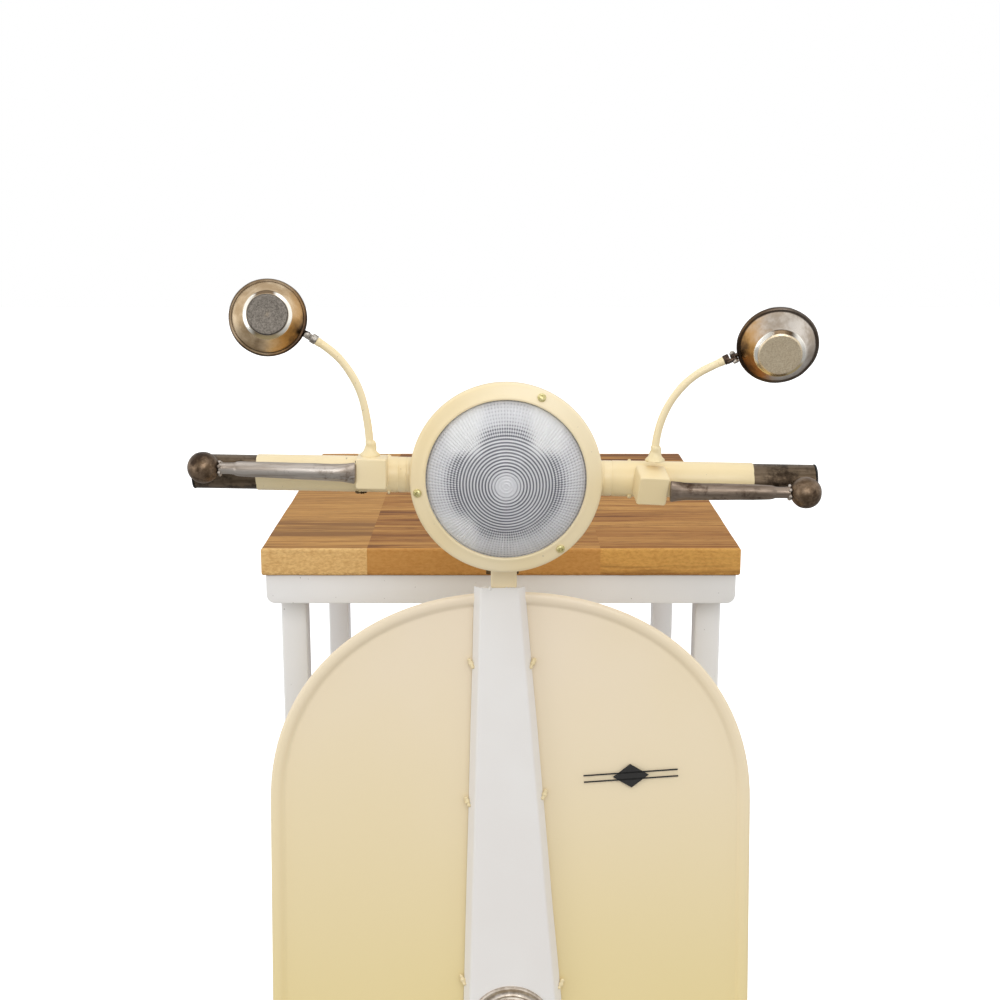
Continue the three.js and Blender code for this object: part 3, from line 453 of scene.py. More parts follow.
def panel(name, side):
    """One shield panel: its outline filled, swaged inwards step by step, and cut at the strip."""
    arch = []
    for k in range(37):
        t = (k / 36) ** 2.2
        arch.append((side * shield_half * (1 - (1 - t) ** arch_power) ** (1 / arch_power), -arch_height * t))
    corner = []
    for k in range(13):
        turn = math.pi / 2 * k / 12
        corner.append((side * (shield_half - corner_radius * (1 - math.cos(turn))),
                       corner_radius * (1 - math.sin(turn)) - shield_drop))
    opening = [(side * opening_half, -shield_drop)]
    for k in range(9):
        turn = math.pi / 2 * k / 8
        opening.append((side * (opening_half - opening_roll * (1 - math.cos(turn))),
                        opening_top - opening_roll * (1 - math.sin(turn))))
    beyond = -side * 0.08
    outline = [(beyond, 0.0)] + arch + corner + opening + [(beyond, opening_top)]
    points = [(x, 0.0026, z) for x, z in outline]
    piece = trace(name, points)
    bpy.ops.mesh.select_all(action="SELECT")
    bpy.ops.mesh.remove_doubles(threshold=1e-6)
    bpy.ops.mesh.edge_face_add()
    for inset, forward in swage:
        bpy.ops.mesh.inset(thickness=inset, depth=0, use_even_offset=True)
        bpy.ops.transform.translate(value=(0, forward, 0))
    top_edge = Vector((strip_edge(0, side) - side * 0.008, 0, 0))
    low_edge = Vector((strip_edge(-0.6, side) - side * 0.008, 0, -0.6))
    along = low_edge - top_edge
    across = Vector((along.z, 0, -along.x)) * (-1 if side < 0 else 1)
    bpy.ops.mesh.select_all(action="SELECT")
    bpy.ops.mesh.bisect(plane_co=top_edge, plane_no=across, clear_outer=True)
    finish_shell(merge=False)
    if sum(face.normal.y * face.area for face in piece.data.polygons) > 0:
        bpy.ops.object.mode_set(mode="EDIT")
        bpy.ops.mesh.flip_normals()
        bpy.ops.object.mode_set(mode="OBJECT")
    modify(piece, "SOLIDIFY", thickness=0.002, offset=-1)
    modify(piece, "TRIANGULATE")
    return fix(piece, shield_frame)


cream_coat_with_painted_shade = Finish("cream_panel_coat_with_painted_shade", Coat_Weight=0.35, Coat_Roughness=0.3)
_, _, height = cream_coat_with_painted_shade.axes()
cloud = cream_coat_with_painted_shade.speckle(4, 3, (1, 1, 0.6))
haze = cream_coat_with_painted_shade.speckle(1.6, 2, shift=(0.3, 0, 0.2))
# The cream is yellower and darker towards the bottom of the shield and paler at the top: painted shade, the
# light falling off down the sheet.
paint = cream_coat_with_painted_shade.blend(height.between(0.45, 1.0), tint(236, 216, 154), tint(242, 226, 201))
paint = cream_coat_with_painted_shade.blend(cloud.between(0.35, 0.7) * 0.35, paint, tint(238, 219, 170))
cream_coat_with_painted_shade.give("Base Color", paint)
cream_coat_with_painted_shade.give("Roughness", 0.34 + 0.12 * haze)
cream_coat_with_painted_shade.relief(cream_coat_with_painted_shade.speckle(2.6, 1) * 8 + cream_coat_with_painted_shade.speckle(380, 2) * 0.12, 0.0008, 0.6)
for node, side in (("shield_panel_left", -1), ("shield_panel_right", 1)):
    sheet = panel(node.replace("shield", "leg_shield"), side)
    hand_over(sheet, cream_coat_with_painted_shade, "stand", "cream_paint", node, crease=40)

# ---- pinstripe ------------------------------------------------------------------------------
# A plain two-line pinstripe with a small diamond in its middle, cut from black vinyl film and
# stuck on the right-hand panel.
black_film = Finish("black_film", Roughness=0.42)
film_black = black_film.blend(black_film.speckle(300, 3), tint(22, 21, 20), tint(40, 38, 36))
black_film.give("Base Color", film_black)
black_film.relief(black_film.speckle(500, 2), 0.0001, 0.3)
film = primitive(bpy.ops.mesh.primitive_plane_add, "pinstripe_film", size=1)
film.scale = (0.100, 0.0016, 1)
fix(film)
bpy.ops.object.mode_set(mode="EDIT")
bpy.ops.transform.translate(value=(0, 0.0035, 0))
bpy.ops.mesh.duplicate_move(TRANSFORM_OT_translate={"value": (0, -0.007, 0)})
bpy.ops.mesh.primitive_plane_add(size=0.018)
bpy.ops.transform.rotate(value=math.pi / 4, orient_axis="Z", center_override=(0, 0, 0))
bpy.ops.transform.resize(value=(1.5, 1, 1))
finish_shell(merge=False)
modify(film, "SOLIDIFY", thickness=0.0002, offset=0)
film_place = shield_frame @ Matrix.Translation((0.1275, -0.0003, -0.196))
film_place = film_place @ Matrix.Rotation(math.pi / 2, 4, "X")
fix(film, film_place @ Matrix.Rotation(math.radians(4), 4, "Z"))
hand_over(film, black_film, "stand", "black_plastic")

# ---- centre strip ---------------------------------------------------------------------------
# A white channel folded from sheet, flat in front with two sloping sides. It widens downwards and
# sits a little out of true over the gap between the panels.
section = [(-strip_half, -0.0003, 0), (-0.0195, -0.015, 0), (0.0195, -0.015, 0), (strip_half, -0.0003, 0)]
strip = trace("centre_channel", section)
bpy.ops.mesh.select_all(action="SELECT")
down_strip = (strip_length * strip_lean, 0, -strip_length)
bpy.ops.mesh.extrude_region_move(TRANSFORM_OT_translate={"value": down_strip})
for side in (-1, 1):
    pick(strip, "VERT", lambda v: v.co.z < -0.5 and (v.co.x - down_strip[0]) * side > 0)
    bpy.ops.transform.translate(value=(side * strip_spread, 0, 0))
finish_shell(merge=False)
if sum(face.normal.y * face.area for face in strip.data.polygons) > 0:
    strip.data.flip_normals()
modify(strip, "BEVEL", width=0.0024, segments=4, limit_method="ANGLE", angle_limit=math.radians(20))
modify(strip, "SOLIDIFY", thickness=0.0018, offset=-1)
cut([(0, 0, -strip_length * k / 40) for k in range(1, 40)], (0, 0, 1))
dent(strip, 0.09, 0.0005, seed=5)
fix(strip, shield_frame @ Matrix.Translation((strip_shift, 0, strip_rise)))
strip_coat = coat("white_channel_coat", tint(238, 236, 233), tint(233, 229, 225), Roughness=0.4)
hand_over(strip, strip_coat, "stand", "white_paint", "centre_strip", crease=25)

# ---- weld beads -----------------------------------------------------------------------------
# Small lumps of weld, painted over: three pairs beside the strip, a row along its top edge, one
# under the headlight, and rough collars where the mirror arms and clamps are joined.


def weld(name, lumps, grain=0.0007):
    """A weld bead: balls of metal run together. Each lump is a place and a radius."""
    parts = []
    for place, radius in lumps:
        parts.append(primitive(bpy.ops.mesh.primitive_ico_sphere_add, name, subdivisions=2,
                               radius=radius, location=place))
    for part in parts:
        part.select_set(True)
    bpy.ops.object.join()
    bead = bpy.context.object
    bead.name = bead.data.name = name
    fix(bead)
    modify(bead, "REMESH", mode="VOXEL", voxel_size=grain)
    modify(bead, "SMOOTH", factor=0.5, iterations=2)
    dent(bead, 0.0025, 0.0006, seed=1)
    return bead


cream_weld = coat("cream_weld_coat", tint(238, 222, 184), tint(231, 212, 163), pinholes=0.05, Roughness=0.42)
beads = []
for x, z, side in ((-0.0426, -0.0755, -1), (0.0227, -0.0755, 1), (-0.047, -0.2234, -1),
                   (0.0399, -0.2158, 1), (-0.0527, -0.4172, -1), (0.0575, -0.4216, 1)):
    edge_x = strip_edge(z, side)
    beads += [((edge_x + side * 0.0012, -0.0022, z), 0.0030),
              ((edge_x + side * 0.0028, -0.0014, z + 0.0036), 0.0024),
              ((edge_x - side * 0.0006, -0.0042, z - 0.0034), 0.0022)]
panel_welds = weld("panel_welds", beads)
hand_over(fix(panel_welds, shield_frame), cream_weld, "stand", "cream_paint", crease=60)
top_beads = []
for x in (-0.017, -0.0135, -0.0095, 0.0075, 0.011, 0.0145, 0.0175):
    place = (strip_shift + x, -0.0125 + 0.0015 * math.sin(900 * x), 0.0050)
    top_beads.append((place, 0.0021 + 0.0006 * math.sin(1700 * x)))
top_weld = weld("channel_top_weld", top_beads, 0.0006)
hand_over(fix(top_weld, shield_frame), strip_coat, "stand", "white_paint", crease=60)

# ---- steering column ------------------------------------------------------------------------
# A square tube that stands inside the channel and carries the headlight. Its bare neck shows
# between the two, closed to the lamp with one coarse run of weld.
column = from_frame("steering_column", "column_tube", 0.0011, 3)
cream_metal = coat("cream_metal_coat", tint(242, 226, 190), tint(236, 215, 168), pinholes=0.02)
hand_over(column, cream_metal, "stand", "cream_paint", "steering_column")

# ---- headlight ------------------------------------------------------------------------------
# A pressed bowl with a conical ring screwed over the glass. The glass is a deep moulded dome with
# fine rings in its middle and, farther out, radial ribs that break the rings up into small cells.
# A silvered dish lies behind it.


def turned(name, profile, segments=72):
    """Spins a profile of (radius, height) points about the Z axis."""
    piece = trace(name, [(radius, 0, level) for radius, level in profile])
    bpy.ops.mesh.select_all(action="SELECT")
    bpy.ops.mesh.spin(steps=segments, angle=2 * math.pi, center=(0, 0, 0), axis=(0, 0, 1))
    finish_shell()
    return piece


ring_low, ring_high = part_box("headlight_ring")
lamp_at = Vector(((ring_low.x + ring_high.x) / 2, ring_high.y - 0.012, (ring_low.z + ring_high.z) / 2))
lamp_frame = Matrix.Translation(lamp_at) @ Matrix.Rotation(math.pi / 2, 4, "X")
bowl_radius = 0.088
shell = turned("headlight_bowl", [
    (0, -0.0955), (0.02, -0.0948), (0.04, -0.0925), (0.058, -0.0885), (0.071, -0.083), (0.080, -0.076),
    (0.0865, -0.0665), (bowl_radius, -0.058), (bowl_radius, -0.034), (0.0868, -0.0328), (0.0868, -0.0304),
    (bowl_radius, -0.0292), (bowl_radius, -0.0092), (0.0864, -0.0092), (0.0864, -0.058), (0.078, -0.074),
    (0.057, -0.0865), (0.03, -0.0915), (0, -0.0935)], 96)
hand_over(fix(shell, lamp_frame), cream_metal, "stand", "cream_paint", "headlight_shell")

ring = turned("headlight_rim", [
    (0.0945, -0.0118), (0.0958, -0.0118), (0.0959, -0.0108), (0.0958, -0.0032), (0.0953, -0.0014),
    (0.0942, -0.0002), (0.0925, 0.0005), (0.0905, 0.0012), (0.0880, 0.0019), (0.0850, 0.0028),
    (0.0832, 0.0036), (0.0820, 0.0043), (0.0808, 0.0045), (0.0798, 0.0041), (0.0794, 0.0031),
    (0.0794, 0.0012), (0.0802, 0.0008), (0.0815, 0.0016), (0.0880, 0.0000), (0.0925, -0.0018),
    (0.0940, -0.0035), (0.0945, -0.0060), (0.0945, -0.0118)], 120)
fix(ring, lamp_frame)
hand_over(ring, cream_metal, "stand", "cream_paint", "headlight_ring", crease=40)

lens_radius = 0.079
lens_rise = 0.038
dome_radius = (lens_radius ** 2 + lens_rise ** 2) / (2 * lens_rise)
ring_pitch = 0.0031
outside = []
steps = 78
for k in range(steps + 1):
    radius = (lens_radius - 0.0006) * (1 - k / steps)
    level = lens_rise - dome_radius + math.sqrt(dome_radius ** 2 - radius ** 2)
    edge_fade = min(1, max(0, (0.0770 - radius) / 0.003))
    ridge = 0.5 + 0.5 * math.cos(2 * math.pi * radius / ring_pitch)
    outside.append((radius, level - 0.0009 * edge_fade * (1 - ridge)))
inside = []
inner_radius = dome_radius - 0.003
for k in range(13):
    radius = (lens_radius - 0.0042) * k / 12
    inside.append((radius, lens_rise - dome_radius + math.sqrt(inner_radius ** 2 - radius ** 2)))
glass = turned("headlight_glass", inside + [
    (lens_radius - 0.004, -0.0028), (lens_radius + 0.0038, -0.0028), (lens_radius + 0.0038, -0.0004),
    (lens_radius, -0.0004)] + outside, 576)
rib_count = 144
for vertex in glass.data.vertices:
    radius = math.hypot(vertex.co.x, vertex.co.y)
    surface = lens_rise - dome_radius + math.sqrt(max(0, dome_radius ** 2 - radius ** 2))
    if radius < lens_radius - 0.002 and abs(vertex.co.z - surface) < 0.0015:
        share = min(1, max(0, (radius - 0.042) / 0.010)) * min(1, max(0, (0.0785 - radius) / 0.001))
        turn = math.atan2(vertex.co.y, vertex.co.x)
        vertex.co.z -= 0.0011 * share * (0.5 - 0.5 * math.cos(rib_count * turn))
clear_glass = Finish("moulded_glass", IOR=1.46, Transmission_Weight=0.38)
gx, _, gz = clear_glass.axes()
gx = gx - lamp_at.x
gz = gz - lamp_at.z
radius = (gx * gx + gz * gz) ** 0.5
around = clear_glass.node("ShaderNodeMath", {"operation": "ARCTAN2"}, {0: gz, 1: gx})
rings = clear_glass.node("ShaderNodeMath", {"operation": "COSINE"}, {0: radius * (2 * math.pi / ring_pitch)})
ribs = clear_glass.node("ShaderNodeMath", {"operation": "COSINE"}, {0: around * rib_count})
ribbed = radius.between(0.043, 0.052)
dust_and_painted_light_noise = clear_glass.speckle(24, 4, rough=0.7)
# The glass is painted darker in the valleys of its rings and ribs, most of all near the middle: painted shade
# in the grooves.
painted_valley_shade = (0.5 - 0.5 * rings) * (1 - 0.35 * ribbed) + (0.5 - 0.5 * ribs) * ribbed * 0.6
painted_valley_shade = painted_valley_shade * (0.45 + 0.9 * dust_and_painted_light_noise) * radius.between(0.002, 0.016)
painted_valley_shade = painted_valley_shade * (1 - 0.5 * radius.between(0.050, 0.064))
level = gz * (1 / lens_radius)
across = gx * (1 / lens_radius)
sides = abs(across)
# Pale patches at the upper left and right and low on the left are painted highlights; the dust noise that
# roughens the glass also breaks them and the painted shade up.
upper_painted_glints = sides.between(0.20, 0.42) * (1 - sides.between(0.62, 0.82)) * level.between(0.25, 0.5)
lower_painted_glints = (0 - across).between(0.25, 0.5) * (0 - level).between(0.30, 0.55)
painted_glints = (upper_painted_glints + lower_painted_glints * 0.9) * (0.5 + 0.8 * dust_and_painted_light_noise)
centre_ring_shade = radius.between(0.014, 0.019) * (1 - radius.between(0.046, 0.052))
# Dark spots at both sides of the glass are painted reflections of dark surroundings.
painted_dark_reflections = sides.between(0.42, 0.58) * (1 - sides.between(0.74, 0.9))
painted_dark_reflections = painted_dark_reflections * (1 - abs(level).between(0.2, 0.5))
painted_valley_shade = painted_valley_shade * (1 + 0.35 * centre_ring_shade + 0.15 * painted_dark_reflections) * (1 - 0.7 * painted_glints)
glass_with_painted_glints = clear_glass.blend(painted_glints, tint(244, 244, 247), tint(255, 255, 255))
glass_with_painted_light = clear_glass.blend(painted_valley_shade.between(0.2, 1.0), glass_with_painted_glints, tint(128, 129, 136))
clear_glass.give("Base Color", glass_with_painted_light)
clear_glass.give("Roughness", 0.05 + 0.08 * dust_and_painted_light_noise)
clear_glass.relief(clear_glass.speckle(90, 3), 0.0002, 0.3)
hand_over(fix(glass, lamp_frame), clear_glass, "stand", "lens_glass", "headlight_lens", crease=60)

dish_radius = lens_radius + 0.0038
dish = [(dish_radius * k / 24, -0.0042 - 0.052 * (1 - (k / 24) ** 2)) for k in range(25)]
dish_back = [(radius, level - 0.0012) for radius, level in dish]
reflector = turned("reflector_dish", dish_back + dish[::-1], 72)
silvered = Finish("silvered_dish", Metallic=1.0, Roughness=0.16)
tarnish = silvered.speckle(40, 4, rough=0.6)
dish_silver = silvered.blend(tarnish.between(0.4, 0.75), tint(214, 215, 216), tint(168, 168, 168))
silvered.give("Base Color", dish_silver)
silvered.give("Roughness", 0.12 + 0.22 * tarnish)
silvered.relief(silvered.speckle(160, 2), 0.0006, 0.5)
hand_over(fix(reflector, lamp_frame), silvered, "stand", "reflector_silver", "reflector")

# Three cross-head screws hold the ring. They are zinc plated, pale yellow and bright.
screw_zinc = Finish("screw_zinc", Metallic=0.55)
stain = screw_zinc.speckle(420, 3)
zinc = screw_zinc.blend(stain.between(0.35, 0.65), tint(232, 222, 168), tint(188, 176, 112))
screw_zinc.give("Base Color", zinc)
screw_zinc.give("Roughness", 0.22 + 0.2 * stain)
screw_zinc.relief(stain, 0.0002, 0.3)
for index, turn in enumerate((0.4, 1.1, 0.2)):
    node = "ring_screw_%d" % (index + 1)
    low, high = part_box(node)
    head = turned(node + "_head", [(0, 0), (0.0040, 0), (0.0043, 0.0004), (0.0043, 0.0009), (0.0040, 0.0017),
                                   (0.0033, 0.0024), (0.0022, 0.0029), (0, 0.0031)], 40)
    for arm in (0, math.pi / 2):
        slot = primitive(bpy.ops.mesh.primitive_cube_add, "slot", size=1, location=(0, 0, 0.0032))
        slot.scale = (0.0046, 0.0009, 0.0030)
        slot.rotation_euler = (0, 0, turn + arm)
        fix(slot)
        bpy.ops.object.select_all(action="DESELECT")
        head.select_set(True)
        modify(head, "BOOLEAN", operation="DIFFERENCE", object=slot, solver="EXACT")
        bpy.data.objects.remove(slot)
    middle = (low + high) / 2
    out = Vector((middle.x - lamp_at.x, 0, middle.z - lamp_at.z)).normalized()
    axis = (Vector((0, -1, 0)) + out * 0.34).normalized()
    seat = Matrix.Translation(middle - axis * 0.0016) @ axis.to_track_quat("Z", "Y").to_matrix().to_4x4()
    hand_over(fix(head, seat), screw_zinc, "stand", "cream_paint", node, crease=30)

neck = Vector((lamp_at.x - 0.0015, lamp_at.y + 0.038, lamp_at.z - 0.0915))
neck_lumps = [(neck + Vector((x, y, -0.001 + 0.0015 * math.sin(700 * x + 900 * y))), 0.0044)
              for x in (-0.0115, -0.006, 0, 0.006, 0.0115) for y in (-0.004, 0.003)]
neck_weld = weld("neck_weld", neck_lumps, 0.001)
hand_over(neck_weld, cream_weld, "stand", "cream_paint", crease=60)

# A dark steel clip sits behind the neck, a tab showing on each side: dark pieces put where the channel's
# hollow lies in shade, a painted shade.


def bare_metal(name, bright, mid, dark, streak=(1, 1, 1), heat=0.5, **constants):
    """Bare steel: drawn or brushed streaks, brown heat tint in clouds, scratches and dull scale."""
    metal = Finish(name, Metallic=0.92, **constants)
    drawn = metal.speckle(150, 5, streak, rough=0.6)
    cloud = metal.speckle(26, 4, rough=0.65)
    scale = metal.speckle(85, 6, shift=(3, 1, 5), rough=0.75)
    scratch = metal.speckle(480, 2, [s * 0.6 for s in streak], turn=(0, 0.2, 0.1))
    base = metal.blend(drawn.between(0.35, 0.65), bright, mid)
    dull = cloud * 0.55 + scale * 0.45
    base = metal.blend(dull.between(0.64 - heat * 0.3, 0.74 - heat * 0.2), base, dark)
    base = metal.blend(scratch.between(0.66, 0.72) * 0.5, base, bright)
    metal.give("Base Color", base)
    metal.give("Roughness", 0.2 + 0.3 * scale + 0.12 * drawn)
    metal.relief(drawn * 0.4 + scale * 0.6, 0.0005, 0.35)
    return metal


clip = primitive(bpy.ops.mesh.primitive_cube_add, "neck_shadow_clip", size=1)
clip.scale = (0.0345, 0.004, 0.0098)
fix(clip)
modify(clip, "BEVEL", width=0.0008, segments=2)
modify(clip, "SUBSURF", levels=2, render_levels=2, subdivision_type="SIMPLE")
dent(clip, 0.004, 0.0010, seed=6)
shade_dark_steel = bare_metal("shade_dark_steel", tint(120, 100, 70), tint(84, 66, 44), tint(38, 30, 22))
clip_y = lamp_at.y + 0.0835
fix(clip, Matrix.Translation((lamp_at.x - 0.0035, clip_y, shield_top.z + 0.0185)))
hand_over(clip, shade_dark_steel, "stand", "brown_steel", crease=60)

# ---- handlebar ------------------------------------------------------------------------------
# Two lengths of bare steel tube, one each side of the lamp, in painted sleeves that stop short of
# the black end caps. The bar hangs about one degree low on the right. The bare metal is blued and
# browned by the torch.
tube_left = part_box("bar_tube_left")
tube_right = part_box("bar_tube_right")
bar_left = (tube_left[0] + tube_left[1]) / 2
bar_right = (tube_right[0] + tube_right[1]) / 2
bar_tilt = math.atan2(bar_left.z - bar_right.z, bar_right.x - bar_left.x)
bar_frame = Matrix.Translation((bar_left + bar_right) / 2) @ Matrix.Rotation(bar_tilt, 4, "Y")


along_x = (0.08, 1, 1)
bar_steel = bare_metal("bar_steel", tint(122, 106, 88), tint(88, 74, 58), tint(50, 39, 29), along_x, 0.6)
cream_tube = coat("cream_tube_coat", tint(243, 226, 186), tint(238, 217, 168), pinholes=0.03)
for side, hand in ((-1, "left"), (1, "right")):
    outward = bar_frame @ Matrix.Rotation(side * math.pi / 2, 4, "Y")
    tube = turned("bar_tube_%s_end" % hand, [
        (0.0152, 0.0912), (0.0172, 0.0912), (0.0172, 0.2600), (0.0171, 0.2605), (0.0172, 0.2610),
        (0.0172, 0.3104), (0.0169, 0.3107), (0.0154, 0.3107), (0.0152, 0.3104), (0.0152, 0.0912)], 64)
    hand_over(fix(tube, outward), bar_steel, "stand", "bare_steel", "bar_tube_" + hand)
    sleeve = turned("bar_sleeve_%s_painted" % hand, [
        (0.01765, 0.0915), (0.01775, 0.0913), (0.0179, 0.0918), (0.0179, 0.0978), (0.0174, 0.0984),
        (0.0179, 0.0990), (0.0179, 0.1062), (0.0176, 0.1068), (0.0179, 0.1075), (0.0181, 0.1080),
        (0.0181, 0.2120), (0.01805, 0.2125), (0.0181, 0.2130), (0.0181, 0.2482), (0.0179, 0.2489),
        (0.01765, 0.2489), (0.01765, 0.0915)], 64)
    for vertex in sleeve.data.vertices:
        if vertex.co.z > 0.247:
            vertex.co.z += 0.0006 * noise.noise(vertex.co * 160)
    hand_over(fix(sleeve, outward), cream_tube, "stand", "cream_paint", "bar_sleeve_" + hand)
    cap = turned("bar_cap_%s_plug" % hand, [
        (0, 0.2972), (0.0138, 0.2972), (0.0148, 0.2982), (0.0148, 0.3111), (0.0172, 0.3111),
        (0.0177, 0.3114), (0.0177, 0.3121), (0.0172, 0.3128), (0.0150, 0.31285), (0.0146, 0.3124),
        (0.0050, 0.3124), (0.0040, 0.3119), (0, 0.3119)], 64)
    hand_over(fix(cap, outward), black_plastic, "stand", "black_plastic", "bar_cap_" + hand)

# A thick painted block is welded over each sleeve, the right one askew, with runs of weld round
# its seams. It carries the mirror arm and the lever.
for node in ("clamp_left", "clamp_right"):
    hand_over(from_frame(node, node + "_block", 0.0014, 3, 30), cream_metal, "stand", "cream_paint", node)
runs = []
for side, place in ((-1, -0.1318), (1, 0.1405)):
    for face in (-0.0152, 0.0152):
        for k in range(9):
            turn = math.radians(150 + 24 * k)
            wander = 0.0006 * math.sin(9.1 * k + face * 900 + place * 50)
            at = Vector((place + face + wander, -0.0182 * math.sin(turn) - 0.001, 0.0182 * math.cos(turn)))
            runs.append((bar_frame @ at, 0.0021 + 0.0005 * math.sin(5 * k + side)))
collar_welds = weld("clamp_welds", runs, 0.0008)
hand_over(collar_welds, cream_weld, "stand", "cream_paint", crease=60)

# Small dark lumps sit where each block's sides meet the sleeve: painted shadow in the gaps there.
gap_shadow_lumps = []
for place, low_side, spread in ((-0.1440, 0.0150, 1), (-0.1440, -0.0160, 1), (0.1590, -0.0172, 0.6)):
    for k in range(6):
        at = Vector((place + (k - 2.5) * 0.0019 * spread, -0.0182 + 0.002 * abs(k - 2),
                     low_side + 0.0004 * math.sin(k)))
        gap_shadow_lumps.append((bar_frame @ at, 0.0013 + 0.0003 * math.sin(2.3 * k)))
hand_over(weld("clamp_gap_shadow_lumps", gap_shadow_lumps, 0.0006), shade_dark_steel, "stand", "brown_steel", crease=60)

# ---- levers ---------------------------------------------------------------------------------
# Each lever is bare tube, flattened where it meets its block and drawn in at the far end to a
# short weld neck. A solid steel ball is welded on there, scratched and darkened by the torch.
ball_steel = bare_metal("ball_steel", tint(132, 112, 92), tint(96, 78, 60), tint(56, 42, 32), heat=0.6)
lever_steels = {
    "left": bare_metal("lever_steel_left", tint(196, 188, 180), tint(156, 144, 132),
                       tint(92, 72, 56), along_x, 0.4),
    "right": bare_metal("lever_steel_right", tint(156, 140, 126), tint(116, 101, 87),
                        tint(70, 53, 40), along_x, 0.5),
}
stations = (
    (0.0000, 0.0105, 0.0030), (0.0018, 0.0108, 0.0034), (0.0040, 0.0103, 0.0039), (0.0090, 0.0095, 0.0055),
    (0.0150, 0.0087, 0.0073), (0.0220, 0.0084, 0.0082), (0.0400, 0.0084, 0.0084), (0.0700, 0.0081, 0.0081),
    (-0.0240, 0.0074, 0.0074), (-0.0180, 0.0071, 0.0071), (-0.0165, 0.0062, 0.0062),
    (-0.0150, 0.0056, 0.0056),
    (-0.0060, 0.0055, 0.0055), (-0.0020, 0.0059, 0.0059), (0.0, 0.0064, 0.0064))
for side, hand, root_z in ((-1, "left", 0.0085), (1, "right", -0.004)):
    ball_low, ball_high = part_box("lever_ball_" + hand)
    ball_at = (ball_low + ball_high) / 2
    ball_radius = (ball_high.x - ball_low.x) / 2
    lever_low, lever_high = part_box("lever_" + hand)
    root_x = lever_high.x if side < 0 else lever_low.x
    root = bar_frame @ Vector((root_x, -0.040, root_z))
    root.x = root_x
    reach = (ball_at - root).length - ball_radius + 0.0006
    lever = primitive(bpy.ops.mesh.primitive_circle_add, "lever_%s_tube" % hand, vertices=32, radius=1,
                      fill_type="NGON")
    bpy.ops.object.mode_set(mode="EDIT")
    bpy.ops.mesh.select_all(action="SELECT")
    bpy.ops.transform.resize(value=(stations[0][1], stations[0][2], 1))
    last = (0, stations[0][1], stations[0][2])
    for k, (level, wide, deep) in enumerate(stations[1:]):
        level = level if k < 7 else reach + level
        bpy.ops.mesh.extrude_region_move(TRANSFORM_OT_translate={"value": (0, 0, level - last[0])})
        bpy.ops.transform.resize(value=(wide / last[1], deep / last[2], 1))
        last = (level, wide, deep)
    finish_shell(merge=False)
    modify(lever, "SUBSURF", levels=1, render_levels=1)
    dent(lever, 0.012, 0.0004, seed=3 + side)
    way = (ball_at - root).normalized()
    level_axis = Vector((0, -1, 0))
    upright = level_axis.cross(way).normalized()
    basis = Matrix((upright, way.cross(upright), way)).transposed().to_4x4()
    fix(lever, Matrix.Translation(root) @ basis)
    hand_over(lever, lever_steels[hand], "stand", "bare_steel", "lever_" + hand)
    ball = primitive(bpy.ops.mesh.primitive_uv_sphere_add, "lever_%s_ball" % hand, segments=64, ring_count=40,
                     radius=ball_radius, location=(0, 0, 0))
    dent(ball, 0.010, 0.0003, seed=side)
    pick(ball, "FACE", lambda f: f.center.z < -ball_radius * 0.93)
    bpy.ops.transform.resize(value=(1, 1, 0.9))
    bpy.ops.object.mode_set(mode="OBJECT")
    hand_over(fix(ball, Matrix.Translation(ball_at) @ way.to_track_quat("Z", "Y").to_matrix().to_4x4()),
              ball_steel, "stand", "brown_steel", "lever_ball_" + hand, crease=60)
    seam_at = root + way * (reach - 0.0012)
    right_way = way.cross(upright)
    seam = [(seam_at + upright * 0.0062 * math.cos(k) + right_way * 0.0062 * math.sin(k), 0.0021)
            for k in range(0, 7)]
    seam_weld = weld("lever_%s_ball_weld" % hand, seam, 0.0006)
    hand_over(seam_weld, lever_steels["left"], "stand", "bare_steel", crease=60)

